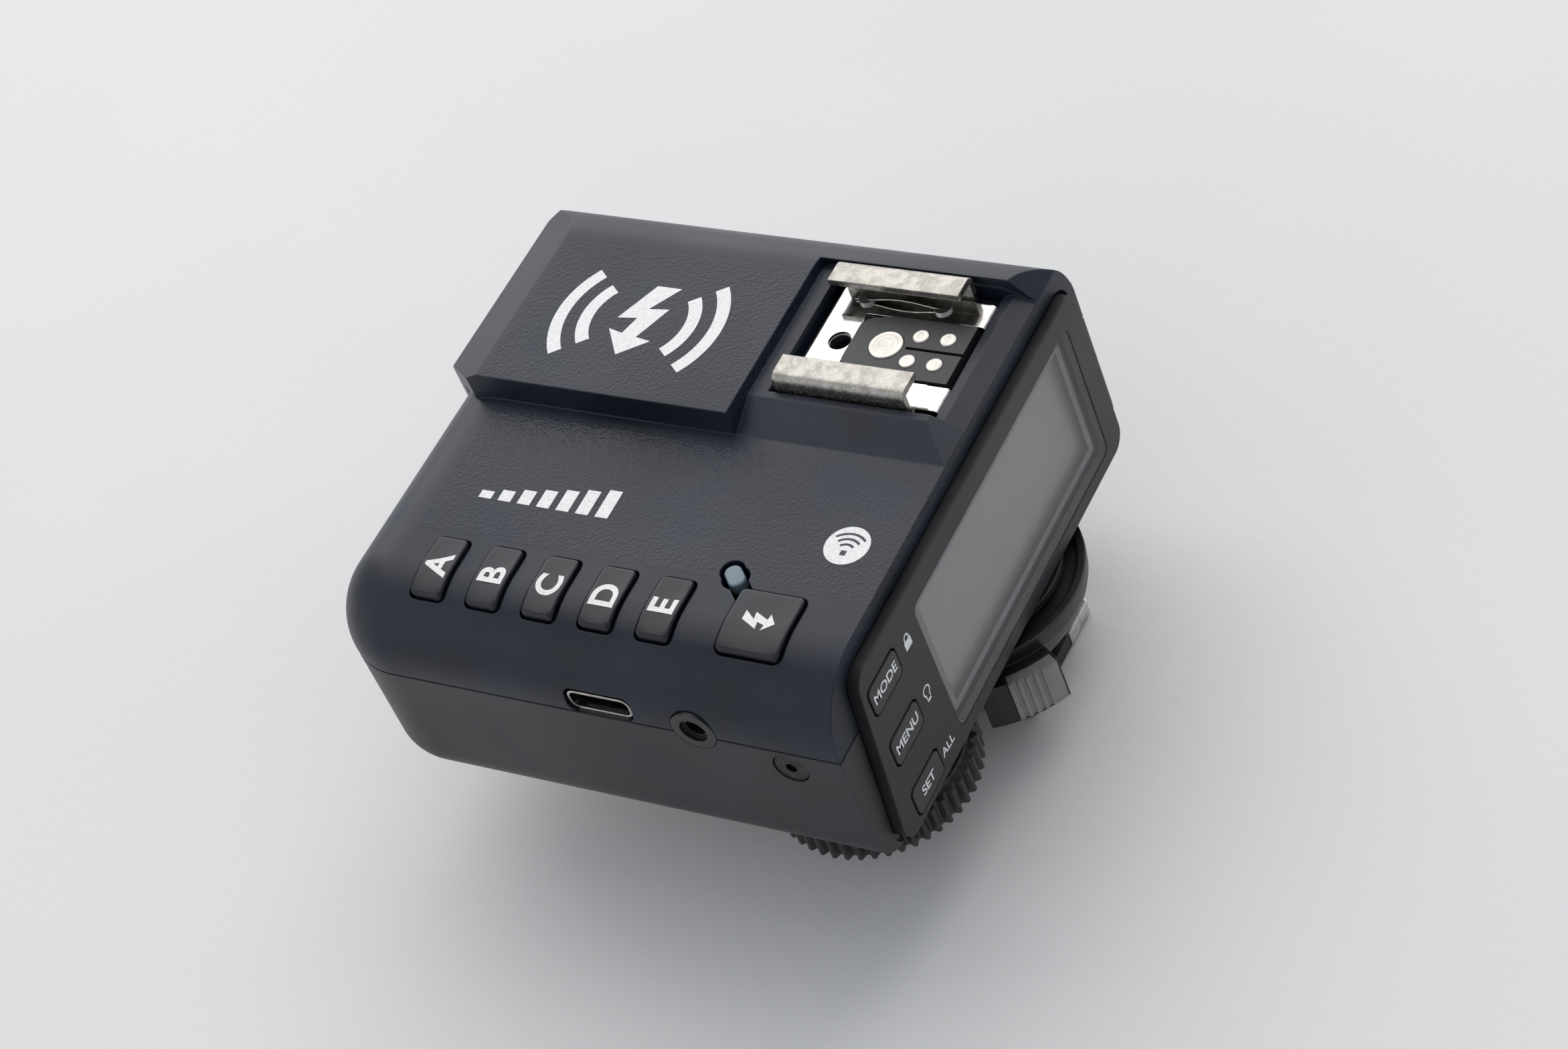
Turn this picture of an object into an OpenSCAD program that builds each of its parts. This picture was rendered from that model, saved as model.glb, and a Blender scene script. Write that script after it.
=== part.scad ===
// Wireless flash trigger for a camera's accessory shoe: two-part case with a raised block
// that carries an accessory shoe of its own, five group keys and a test key on a rolled edge,
// a rear display with three keys, a knurled select dial and a locking foot underneath.
// Body frame: x = 0 on the case's middle, y = 0 on its rear face, z = 0 on the parting line.
// Every node is then moved so that the origin is the centre of the foot's sole.

/* [Body] */
// Width of the case
body_w = 72; // [70:0.5:90]
// Depth of the case from rear face to front face
body_d = 74; // [73:0.5:92]
// Height of the keypad deck above the parting line
deck_h = 10.6; // [10.2:0.1:12.8]
// Depth of the case below the parting line
base_h = 20.4; // [20.2:0.1:24.6]
// Thickness of the side, front, top and bottom walls
wall = 2; // [1.6:0.1:2.4]
// Height of the groove along the outside of the parting line
seam_h = 0.3; // [0.2:0.05:0.5]
// Depth of that groove
seam_d = 0.4; // [0.2:0.05:0.6]
// Thickness of the rear wall that carries the display bezel
rear_wall = 2.4; // [2:0.1:3]
// Radius that rolls the deck over to the left side and to the front
roll_r = 10; // [8:0.5:10]
// Radius of the right-hand top edge of the main case
right_r = 6; // [4:0.5:8]
// Radius of the long bottom edges
bottom_r = 5; // [3:0.5:6]
// Radius of the front corners seen from above
plan_r = 9; // [6:0.5:10]

/* [Raised block] */
// Distance from the left side to the block's near wall
block_inset = 36.6; // [35:0.1:38]
// Height of the plate's top above the deck
plate_rise = 3.4; // [3:0.1:4.5]
// Height of the shoe deck above the keypad deck
shoe_deck_rise = 2; // [1.8:0.1:2.6]
// Distance from the rear face to the plate's rear edge
plate_rear = 28; // [28:0.1:32]
// Length of the sloping nose at the plate's front
nose_l = 7.6; // [6:0.1:9]
// Radius of the block's rolled right side
block_roll_r = 10; // [8:0.5:10]

/* [Hot shoe] */
// Distance from the right side to the shoe's middle
shoe_inset = 18.9; // [18.5:0.1:20]
// Outside width over the two rails
rail_w = 20.5; // [20:0.1:21]
// Clear opening between the rail lips
rail_gap = 12.8; // [12.5:0.1:13]
// Length of the rails
rail_l = 18.2; // [17:0.1:19]
// Distance from the rear face to the rails' rear end
rail_rear = 7.6; // [7:0.1:8.5]
// Thickness of the rail metal
rail_t = 0.9; // [0.8:0.05:1]
// Height of the slot that takes a foot
slot_h = 2.3; // [2.1:0.05:2.4]
// Radius of the large middle contact
big_contact_r = 2.3; // [2:0.1:2.5]
// Radius of the four signal contacts
small_contact_r = 1.1; // [0.9:0.05:1.2]

/* [Keys] */
// Length of a group key across the rolled edge
key_l = 8.4; // [7:0.1:8.6]
// Width of a group key
key_w = 4.6; // [4:0.1:5.6]
// Distance between neighbouring group keys
key_pitch = 8.1; // [8:0.05:8.6]
// Distance from the rear face to the nearest group key
key_first = 24.95; // [24.5:0.05:26]
// Distance from the left side to the keys' outer ends
key_inset = 5.4; // [5.2:0.1:6.4]
// Length and width of the test key
test_size = 8.6; // [7.2:0.1:8.8]
// Distance from the rear face to the test key's middle
test_y = 12; // [11.5:0.1:12.4]
// Height of the keys above the deck
key_rise = 0.55; // [0.3:0.05:0.8]
// Travel of the group keys and the test key
key_travel = 0.5; // [0.3:0.05:0.5]

/* [Display] */
// Height of the display bezel's top edge above the parting line
bezel_top = 7.6; // [7:0.1:8]
// Distance from the case's underside to the bezel's bottom edge
bezel_foot = 0.5; // [0.3:0.1:1]
// How far the bezel stands out from the rear face
bezel_proud = 1.4; // [1:0.1:1.8]
// How much the bezel's left edge leans out at its lower end
bezel_lean = 3; // [0:0.5:3]
// Width of the display lens
lens_w = 45.8; // [38:0.1:46]
// Height of the display lens
lens_h = 22; // [18:0.1:22.4]
// Thickness of the display lens
lens_t = 1; // [0.8:0.1:1.2]
// Width of the three display keys
face_key_w = 7; // [6:0.1:7.4]
// Height of the three display keys
face_key_h = 4.2; // [3.6:0.1:5]
// Distance between neighbouring display keys
face_key_pitch = 9.35; // [9:0.05:9.4]
// Travel of the display keys
face_key_travel = 0.5; // [0.3:0.05:0.5]

/* [Select dial] */
// Radius of the dial over its teeth
dial_r = 13.5; // [11.2:0.1:13.5]
// Thickness of the dial
dial_t = 5.2; // [4:0.1:6]
// Number of teeth round the rim
dial_teeth = 48; // [36:2:60]
// Distance from the left side to the dial's axis
dial_inset = 17; // [15:0.1:17]
// Distance from the rear face to the dial's axis
dial_y = 11.2; // [11.2:0.1:12.5]
// Radius of the dial's shaft
dial_shaft_r = 3; // [2.5:0.1:3.6]

/* [Foot] */
// Distance from the left side to the foot's axis
foot_inset = 45.9; // [45.9:0.1:47]
// Distance from the rear face to the foot's axis
foot_y = 10.5; // [10.2:0.1:12]
// Distance from the case's underside to the sole
foot_h = 16.6; // [15.8:0.1:18]
// Width of the metal foot plate
foot_w = 18.6; // [18.4:0.05:18.7]
// Length of the metal foot plate
foot_l = 18.4; // [17.5:0.1:18.8]
// Thickness of the metal foot plate
foot_t = 2; // [1.8:0.05:2.1]
// Space above the foot plate for the lips of a camera's shoe
lip_space = 2; // [1.6:0.1:2.4]
// Width of the neck that passes between those lips
neck_w = 12.2; // [11.8:0.1:12.4]
// Radius of the lock ring's upper rim
ring_r = 15; // [13.5:0.1:15]
// Radius of the lock ring's lower end
ring_low_r = 9.4; // [9:0.1:11]
// Radius of the hub that the lock ring turns on
hub_r = 7; // [6.6:0.1:7.6]
// How far the lock pin comes out of the sole when locked
pin_travel = 1.5; // [1:0.1:1.8]

/* [Battery bay] */
// Radius of an AA cell
cell_r = 7.1; // [7:0.05:7.25]
// Length of an AA cell over its nub
cell_l = 50.3; // [49.5:0.1:50.5]
// Thickness of the battery cover
cover_t = 1.8; // [1.4:0.1:2]

/* [Ports] */
// Distance from the rear face to the USB socket's middle
usb_y = 32.5; // [31:0.1:34]
// Distance from the rear face to the sync jack's axis
jack_y = 19.6; // [19:0.1:21]
// Height of the sync jack's axis above the parting line
jack_z = 0.6; // [0.4:0.1:0.8]
// Radius of the sync jack's ring
jack_ring_r = 3; // [2.8:0.1:3.2]
// Radius of the sync jack's bore, for a 2.5 mm plug
jack_bore_r = 1.3; // [1.28:0.01:1.35]
// Length of the sync jack's bore
jack_bore_l = 10; // [9:0.1:10.5]

/* [Fits] */
// Gap round each key in its well
key_gap = 0.3; // [0.2:0.05:0.4]
// Radial clearance of shafts that turn
running_gap = 0.05; // [0.02:0.01:0.08]
// Clearance between parts that are assembled loosely
fit_gap = 0.15; // [0.1:0.05:0.2]
// Gap between the bezel's edge and the case round it
bezel_gap = 0.5; // [0.3:0.05:0.7]

/* [Hidden] */

$fn = 64;
eps = 0.01;
big = 200;

// Sides of the case in the body frame
left_x = -body_w / 2;
right_x = body_w / 2;
corner_r = roll_r + 0.5;
plate_z = deck_h + plate_rise;
shoe_deck_z = deck_h + shoe_deck_rise;
floor_z = -base_h + wall;

// Raised block
block_x = left_x + block_inset;
block_draft = 0.45;
block_side_slope = 4.9;
block_rear_slope = 4.2;
nose_drop = 3.1;
strip_x = right_x - 8;

// Hot shoe, from the pocket floor upwards
shoe_x = right_x - shoe_inset;
pocket_z = shoe_deck_z - 2.6;
spring_t = 0.4;
contact_z = pocket_z + 1.7;
rail_top_z = contact_z + slot_h + rail_t;
pocket_side = 0.35;
rail_front = rail_rear + rail_l;
contact_centre_y = rail_rear + 7.9;
contact_row_y = [contact_centre_y - 3.9, contact_centre_y - 7.65];
contact_row_x = 2.1;
block_half_w = 4.8;
contact_block_y0 = rail_rear - 2.6;
contact_block_y1 = contact_centre_y + 4.9;
shoe_pin_y = contact_centre_y + 6.6;
shoe_screw_y = [rail_rear + 3.4, rail_front - 4.2];
shoe_screw_x = 7.3;

// Keys on the deck
key_x0 = left_x + key_inset;
key_x1 = key_x0 + key_l;
keypad_board_z = 3.9;
keypad_board_t = 0.8;
switch_h = 1.3;
plunger_h = 0.5;
key_base_z = keypad_board_z + keypad_board_t + switch_h + plunger_h + key_travel + 0.05;
key_lip = 0.6;
key_lip_h = 1;
key_switch_x = key_x0 + 5.2;
key_y = [for (i = [4:-1:0]) key_first + i * key_pitch];
test_x = key_x0 + test_size / 2 + 0.1;
lamp_x = test_x + 5.8;
lamp_y = test_y + 6.2;
lamp_r = 1.4;
lamp_join_w = 2.4;
board_post_x = key_x1 + 3.7;
board_post_y = [test_y + 12.6, key_y[1]];

// Display
bezel_bottom = -base_h + bezel_foot;
bezel_x0 = left_x + 6.4;
bezel_x1 = right_x - 2.1;
bezel_seat = 1;
bezel_ledge = 1.5;
bezel_r = 2.6;
rim_drop = 0.6;
lens_x1 = right_x - 6;
lens_x0 = lens_x1 - lens_w;
lens_z1 = bezel_top - 3.4;
lens_z0 = lens_z1 - lens_h;
window_rim = 1.2;
lcd_t = 1.2;
backlight_t = 2.4;
display_board_y = bezel_seat + lcd_t + backlight_t + 0.2;
display_board_t = 1.2;
display_boss_x = [lens_x0 - 2.6, lens_x1 + 1.5];
display_boss_z = [lens_z1, lens_z0 + 2];
face_key_x = left_x + 10.8;
face_key_z = [for (i = [0:2]) 2.1 - i * face_key_pitch];
face_key_proud = 0.1;
lip_w = 0.6;
lip_gap = 0.3;
lip_t = 0.6;
face_key_back = display_board_y - 1.9 - face_key_travel - 0.05;

// Dial, downwards from the case's underside
dial_z = -base_h - 0.4 - dial_t;
encoder_h = 6;
tooth_h = 0.75;

// Foot, downwards from the case's underside
foot_x = left_x + foot_inset;
under_z = -base_h;
sole_z = under_z - foot_h;
plate_top_z = sole_z + foot_t;
ring_low_z = plate_top_z + lip_space;
disc_r = 12.3;
disc_t = 1;
ring_top_z = under_z - disc_t - 0.3;
lever_angle = 224;
handle_r = 16.4;
handle_z0 = ring_low_z + 1.8;
handle_z1 = ring_top_z - 2.4;
cap_t = 1.3;
hub_bore_r = 3;
neck_l = 17;
foot_screw_x = 4.9;
foot_screw_y = 6.2;
lock_pin_y = 5.4;
lock_pin_r = 1.1;
foot_block_w = 3;
hub_screw_r = 5;

// Battery bay
bay_clear = 0.3;
bay_wall = 1.2;
bay_y1 = body_d - wall - 0.8;
cell_y = [bay_y1 - bay_clear - cell_r, bay_y1 - 2 * bay_clear - 3 * cell_r];
bay_y0 = cell_y[1] - cell_r - bay_clear;
cell_z = under_z + cover_t + 0.2 + cell_r;
bay_top_z = cell_z + cell_r + bay_clear;
nub_r = 2.7;
nub_l = 1.3;
spring_l = 4.7;
contact_t = 0.4;
button_l = 0.6;
bay_half = (cell_l + spring_l + button_l + 2 * contact_t) / 2;
cover_half = bay_half + 0.8;
tongue_w = 1.2;
cover_y0 = bay_y0 - 1;
cover_lip_z = under_z + 5.2;

// Boards and fixings
board_top_z = 0.1;
board_t = 1.2;
board_under_z = board_top_z - board_t;
board_edge = 4.8;
board_y0 = 12.4;
board_y1 = body_d - 5;
board_posts = [[-bay_half + 6, bay_y0 + 4], [bay_half - 6, bay_y0 + 4],
               [-bay_half + 6, bay_y1 - 6], [bay_half - 6, bay_y1 - 6]];
rear_posts = [[right_x - 8, 23], [left_x + 8.4, 25.5]];
case_screw_y = [7.6, body_d - 12.5];
// Side and place of each screw; the left front tab only locates
case_screw_at = [[-1, case_screw_y[0]], [1, case_screw_y[0]], [1, case_screw_y[1]]];
case_screw_z = -3.1;
screw_head_r = 2.2;
screw_r = 1;
tab_t = 2.2;
tab_back = 1.4;
tab_front = 3;

// Ports and switches
usb_z = 1.75;
usb_w = 8.9;
usb_h = 3.2;
usb_l = 7.4;
side_switch_z = -6.6;
side_switch_y = [33, 47];
side_switch_travel = 3;
side_slot_half = side_switch_travel / 2 + 1.8;
side_recess_half = side_switch_travel / 2 + 3.1;
knob_l = 3.4;
knob_h = 3;
assist_x = right_x - 20;
assist_w = 16;
assist_z0 = 3.4;
assist_z1 = 8.2;

// Moves a node from the body frame to the part's frame
module placed() translate([-foot_x, -foot_y, -sole_z]) children();

// Box given by its low and high corners
module span(low, high) translate(low) cube(high - low);

// Outside of a rounded corner, to be cut from a square profile
module corner_mask(x, y, r, sx, sy) {
    difference() {
        translate([x - sx * r / 2 + sx * 0.5, y - sy * r / 2 + sy * 0.5]) square(r + 1, center = true);
        translate([x - sx * r, y - sy * r]) circle(r);
    }
}

// Points of a convex outline with its corners rounded
function unit(v) = v / norm(v);
function corner_arc(a, b, c, r, n) =
    let (u = unit(a - b), v = unit(c - b), half = acos(u * v) / 2,
         mid = b + unit(u + v) * r / sin(half), reach = r / tan(half),
         p = b + u * reach - mid, q = b + v * reach - mid,
         a0 = atan2(p.y, p.x), turn = atan2(p.x * q.y - p.y * q.x, p * q))
    [for (i = [0:n]) mid + r * [cos(a0 + turn * i / n), sin(a0 + turn * i / n)]];
function rounded(pts, r, n = 8) =
    [for (i = [0:len(pts) - 1])
        each corner_arc(pts[(i + len(pts) - 1) % len(pts)], pts[i], pts[(i + 1) % len(pts)], r, n)];
function box_pts(x0, y0, x1, y1) = [[x0, y0], [x1, y0], [x1, y1], [x0, y1]];

// Profiles of the case, each drawn in by inset
module front_profile(inset) {
    x0 = left_x + inset;
    x1 = right_x - inset;
    z0 = -base_h + inset;
    z1 = deck_h - inset;
    difference() {
        translate([x0, z0]) square([x1 - x0, z1 - z0]);
        corner_mask(x0, z1, roll_r - inset, -1, 1);
        corner_mask(x1, z1, right_r - inset, 1, 1);
        corner_mask(x0, z0, bottom_r - inset, -1, -1);
        corner_mask(x1, z0, bottom_r - inset, 1, -1);
    }
}
module side_profile(inset, rear) {
    y1 = body_d - inset;
    z0 = -base_h + inset;
    z1 = deck_h - inset;
    difference() {
        translate([rear, z0]) square([y1 - rear, z1 - z0]);
        corner_mask(y1, z1, roll_r - inset, 1, 1);
        corner_mask(y1, z0, bottom_r - inset, 1, -1);
    }
}
module plan_profile(inset, rear) {
    x0 = left_x + inset;
    x1 = right_x - inset;
    y1 = body_d - inset;
    difference() {
        translate([x0, rear]) square([x1 - x0, y1 - rear]);
        corner_mask(x1, y1, plan_r - inset, 1, 1);
    }
}
// Runs a profile drawn in X and Z along Y, from y0 to y1
module along_y(y0, y1) translate([0, y1, 0]) rotate([90, 0, 0]) linear_extrude(y1 - y0) children();
// Runs a profile drawn in Y and Z along X, from x0 to x1
module along_x(x0, x1) translate([x0, 0, 0]) rotate([90, 0, 90]) linear_extrude(x1 - x0) children();

// Case drawn in by inset; its left front corner is the front profile swept round a quarter turn
module case_form(inset, rear) {
    corner_x = left_x + corner_r;
    corner_y = body_d - corner_r;
    difference() {
        intersection() {
            along_y(-1, body_d + 1) front_profile(inset);
            along_x(left_x - 1, right_x + 1) side_profile(inset, rear);
            translate([0, 0, -base_h - 1]) linear_extrude(base_h + deck_h + 2) plan_profile(inset, rear);
        }
        span([-big, corner_y, -big], [corner_x, big, big]);
    }
    translate([corner_x, corner_y, 0]) rotate(90) rotate_extrude(angle = 90) intersection() {
        translate([corner_x, 0]) mirror([1, 0]) front_profile(inset);
        translate([0, -base_h - 1]) square([corner_r + 1, base_h + deck_h + 2]);
    }
}

// Raised block over the right half: plate and nose, lower shoe deck, and the strip beside it
module block_form() {
    roll_z = plate_z - block_roll_r;
    intersection() {
        union() {
            intersection() {
                along_y(plate_rear, body_d + 1) difference() {
                    polygon([[block_x, 0], [block_x, deck_h], [block_x + block_draft, plate_z],
                             [right_x, plate_z], [right_x, 0]]);
                    corner_mask(right_x, plate_z, block_roll_r, 1, 1);
                }
                along_x(0, right_x + 1) polygon([
                    [plate_rear, 0], [plate_rear + 1, shoe_deck_z], [plate_rear + 1.4, plate_z],
                    [body_d - nose_l, plate_z], [body_d - 0.9, plate_z - nose_drop],
                    [body_d, plate_z - nose_drop - 1.2], [body_d, 0]]);
            }
            intersection() {
                along_y(0, plate_rear + 2) polygon([
                    [block_x, 0], [block_x, deck_h], [block_x + block_side_slope, shoe_deck_z],
                    [strip_x + 1, shoe_deck_z], [strip_x + 1, 0]]);
                along_x(0, right_x) polygon([
                    [0, 0], [0, deck_h], [block_rear_slope, shoe_deck_z],
                    [plate_rear + 2, shoe_deck_z], [plate_rear + 2, 0]]);
            }
            intersection() {
                along_y(0, plate_rear + 2) difference() {
                    translate([strip_x, 0]) square([right_x - strip_x, plate_z]);
                    corner_mask(right_x, plate_z, block_roll_r, 1, 1);
                }
                along_x(0, right_x + 1) polygon([
                    [0, 0], [0, deck_h], [3.4, plate_z], [plate_rear + 2, plate_z],
                    [plate_rear + 2, 0]]);
            }
        }
        linear_extrude(plate_z + 1) difference() {
            plan_profile(0, 0);
            polygon([[block_x - 1, body_d + 1], [block_x - 1, body_d - nose_l + 1.2],
                     [block_x, body_d - nose_l + 1.2], [block_x + 4.6, body_d], [block_x + 4.6, body_d + 1]]);
        }
    }
}

// Outline of the display bezel, grown by g, in X and Z
function bezel_pts(g, drop) = [[bezel_x0 - g, bezel_top + g],
                               [bezel_x0 - bezel_lean - g, bezel_bottom - g - drop],
                               [bezel_x1 + g, bezel_bottom - g - drop], [bezel_x1 + g, bezel_top + g]];
module bezel_outline(g, drop = 0) polygon(rounded(bezel_pts(g, drop), bezel_r + g));

// Space inside the case that the bezel leaves open, cut from both shells; the gap round the bezel
// runs out through the case's lower edge
module bezel_opening() {
    along_y(-1, bezel_seat) bezel_outline(bezel_gap, rim_drop);
    along_y(-1, rear_wall + 1) bezel_outline(-bezel_ledge);
    for (z = face_key_z)
        span([face_key_x - face_key_w / 2 - lip_w - lip_gap, bezel_seat - eps,
              z - face_key_h / 2 - lip_w - lip_gap],
             [face_key_x + face_key_w / 2 + lip_w + lip_gap, bezel_seat + lip_t + face_key_travel + 0.2,
              z + face_key_h / 2 + lip_w + lip_gap]);
}

// Wells through the deck for the keys and the status lamp
module key_prism(x0, y0, x1, y1, z0, z1, r) {
    translate([0, 0, z0]) linear_extrude(z1 - z0) polygon(rounded(box_pts(x0, y0, x1, y1), r, 6));
}
module key_wells() {
    for (y = key_y)
        key_prism(key_x0 - key_gap, y - key_w / 2 - key_gap, key_x1 + key_gap, y + key_w / 2 + key_gap,
                  4, big, 0.9);
    key_prism(test_x - test_size / 2 - key_gap, test_y - test_size / 2 - key_gap,
              test_x + test_size / 2 + key_gap, test_y + test_size / 2 + key_gap, 4, big, 1.1);
    translate([lamp_x, lamp_y, 4]) cylinder(r = lamp_r + 0.4, h = big);
    translate([lamp_x + 0.9, lamp_y + 0.9, 4]) cylinder(r = lamp_r + 0.2, h = big);
    translate([lamp_x, lamp_y, 4]) rotate(-135) translate([0, -lamp_join_w / 2, 0])
        cube([norm([lamp_x - test_x, lamp_y - test_y]) / 2, lamp_join_w, big]);
}

// Four tabs of the upper shell that the case screws hold
module case_tabs() {
    for (side = [-1, 1], y = case_screw_y) {
        inner = right_x - wall - fit_gap;
        scale([side, 1, 1]) {
            span([inner - tab_t, y - tab_back, -6.2], [inner, y + tab_front, 3]);
            span([inner - tab_t, y - tab_back, eps], [inner + fit_gap + 0.5, y + tab_front, 3]);
        }
    }
}
module case_screw_holes(r) {
    for (s = case_screw_at)
        translate([s[0] * (right_x + 1), s[1], case_screw_z]) rotate([0, -s[0] * 90, 0])
            cylinder(r = r, h = wall + tab_t + 2);
}

// Openings in the left side for the USB socket and the sync jack
module port_holes() {
    along_x(left_x - 1, left_x + wall + 1)
        polygon(rounded(box_pts(usb_y - usb_w / 2 - 0.3, 0, usb_y + usb_w / 2 + 0.3, usb_z + usb_h / 2 + 0.3),
                        1.2));
    translate([left_x - 1, jack_y, jack_z]) rotate([0, 90, 0]) cylinder(r = jack_ring_r + 0.1, h = wall + 2);
}

module assist_outline(g) polygon(rounded(box_pts(assist_x - assist_w / 2 - g, assist_z0 - g,
                                                 assist_x + assist_w / 2 + g, assist_z1 + g), 1));

module top_shell() color("#1d222c") placed() difference() {
    union() {
        intersection() {
            union() {
                case_form(0, 0);
                block_form();
            }
            span([-big, -big, 0], [big, big, big]);
        }
        case_tabs();
    }
    // Inside of the case, left solid under the shoe and round the fixing posts
    difference() {
        case_form(wall, rear_wall);
        span([block_x + 1, 0, pocket_z - 2.2], [strip_x + 2, plate_rear + 1, big]);
        for (y = board_post_y)
            translate([board_post_x, y, keypad_board_z + keypad_board_t]) cylinder(r = 2, h = deck_h);
        case_tabs();
    }
    // Hollow of the raised block
    span([block_x + 2.4, plate_rear + 3, 1], [right_x - 7, body_d - nose_l - 0.5, plate_z - 1.8]);
    span([block_x + 2.4, body_d - nose_l - 1, 1], [right_x - 9, body_d - 2.4, assist_z1 + 0.6]);
    // Pocket for the shoe, the way in behind it, and the hole for its contact block
    span([shoe_x - rail_w / 2 - pocket_side, rail_rear - 3.4, pocket_z],
         [shoe_x + rail_w / 2 + pocket_side, rail_front + 0.8, big]);
    span([shoe_x - block_half_w - 0.1, contact_block_y0 - 0.1, 6],
         [shoe_x + block_half_w + 0.1, contact_block_y1 + 0.1, big]);
    along_x(shoe_x - rail_w / 2 - pocket_side, shoe_x + rail_w / 2 + pocket_side)
        polygon([[-1, deck_h - 0.6], [0, deck_h - 0.1], [2.7, contact_z - 0.1],
                 [rail_rear - 3.3, contact_z - 0.5], [rail_rear - 3.3, big], [-1, big]]);
    translate([shoe_x, shoe_pin_y, pocket_z - 1.5]) cylinder(r = 1.4, h = 5);
    for (sx = [-1, 1], y = shoe_screw_y)
        translate([shoe_x + sx * shoe_screw_x, y, pocket_z - 1.9]) cylinder(r = 0.75, h = 5);
    for (y = board_post_y)
        translate([board_post_x, y, keypad_board_z]) cylinder(r = 0.85, h = 3.4);
    key_wells();
    bezel_opening();
    port_holes();
    case_screw_holes(screw_r);
    along_y(body_d - 5, body_d + 1) assist_outline(0.1);
}

// Battery cover and the space it slides in
module cover_prism(g) {
    along_y(cover_y0 - g, body_d + 1) polygon([
        [-cover_half - g, -base_h - 1], [-cover_half - g, floor_z - 1.3 - g],
        [-cover_half - tongue_w - g, floor_z - 1.3 - g], [-cover_half - tongue_w - g, floor_z - 0.5 + g],
        [-cover_half - g, floor_z - 0.5 + g], [-cover_half - g, under_z + cover_t],
        [cover_half + g, under_z + cover_t], [cover_half + g, floor_z - 0.5 + g],
        [cover_half + tongue_w + g, floor_z - 0.5 + g], [cover_half + tongue_w + g, floor_z - 1.3 - g],
        [cover_half + g, floor_z - 1.3 - g], [cover_half + g, -base_h - 1]]);
}

module post(p, r, z0, z1) translate([p.x, p.y, z0]) cylinder(r = r, h = z1 - z0);

module bottom_shell() color("#23262d") placed() difference() {
    union() {
        difference() {
            intersection() {
                case_form(0, 0);
                span([-big, -big, -big], [big, big, 0]);
            }
            case_form(wall, rear_wall);
        }
        intersection() {
            union() {
                // Walls and roof of the battery bay
                span([-bay_half - bay_wall, bay_y0 - bay_wall, floor_z - wall + 0.1],
                     [bay_half + bay_wall, body_d - wall + eps, bay_top_z + bay_wall]);
                for (p = board_posts)
                    post(p, 1.9, bay_top_z, board_under_z);
                for (p = rear_posts)
                    post(p, 2.1, floor_z - 1, board_under_z);
            }
            case_form(0.5, 0.5);
        }
    }
    // Battery bay, its cover and the cover's side grooves, open at the front
    span([-bay_half, bay_y0, -base_h - 1], [bay_half, bay_y1, bay_top_z]);
    cover_prism(fit_gap);
    span([-cover_half - fit_gap, body_d - bottom_r - 0.2, -base_h - 1],
         [cover_half + fit_gap, body_d + 1, cover_lip_z + fit_gap]);
    for (s = [-1, 1])
        span([s * (bay_half - 1) - 2.2, bay_y0 + 6, bay_top_z - 1],
             [s * (bay_half - 1) + 2.2, bay_y0 + 9, bay_top_z + bay_wall + 1]);
    for (p = board_posts)
        translate([p.x, p.y, bay_top_z + 0.4]) cylinder(r = 0.85, h = 5);
    for (p = rear_posts)
        translate([p.x, p.y, -8]) cylinder(r = 0.85, h = 12);
    // Floor holes for the dial's shaft and for the foot's wiring and screws
    translate([left_x + dial_inset, dial_y, -base_h - 1]) cylinder(r = dial_shaft_r + 0.6, h = wall + 2);
    translate([foot_x, foot_y, -base_h - 1]) cylinder(r = hub_bore_r, h = wall + 2);
    for (a = [90:120:330])
        translate([foot_x + hub_screw_r * cos(a), foot_y + hub_screw_r * sin(a), -base_h - 1])
            cylinder(r = 1.1, h = wall + 2);
    // Groove along the outside of the parting line
    difference() {
        span([-big, -big, -seam_h], [big, big, 1]);
        case_form(seam_d, seam_d);
    }
    bezel_opening();
    port_holes();
    case_screw_holes(screw_r + 0.1);
    for (s = case_screw_at)
        translate([s[0] * (right_x + 1), s[1], case_screw_z]) rotate([0, -s[0] * 90, 0])
            cylinder(r = screw_head_r + 0.15, h = 2.1);
    // Recesses and slots of the two slide switches on the right side
    for (y = side_switch_y) {
        span([right_x - 0.8, y - side_recess_half, side_switch_z - 2.2],
             [right_x + 1, y + side_recess_half, side_switch_z + 2.2]);
        span([right_x - wall - 1, y - side_slot_half, side_switch_z - 1],
             [right_x, y + side_slot_half, side_switch_z + 1]);
    }
}

module case_screws() color("#3a3d42") placed() {
    for (s = case_screw_at)
        translate([s[0] * (right_x - 0.15), s[1], case_screw_z]) rotate([0, -s[0] * 90, 0]) difference() {
            union() {
                cylinder(r = screw_head_r, h = 0.95);
                cylinder(r = screw_r, h = wall + tab_t);
            }
            translate([0, 0, -0.1]) cylinder(r = 0.8, h = 0.7, $fn = 6);
        }
}

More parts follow.
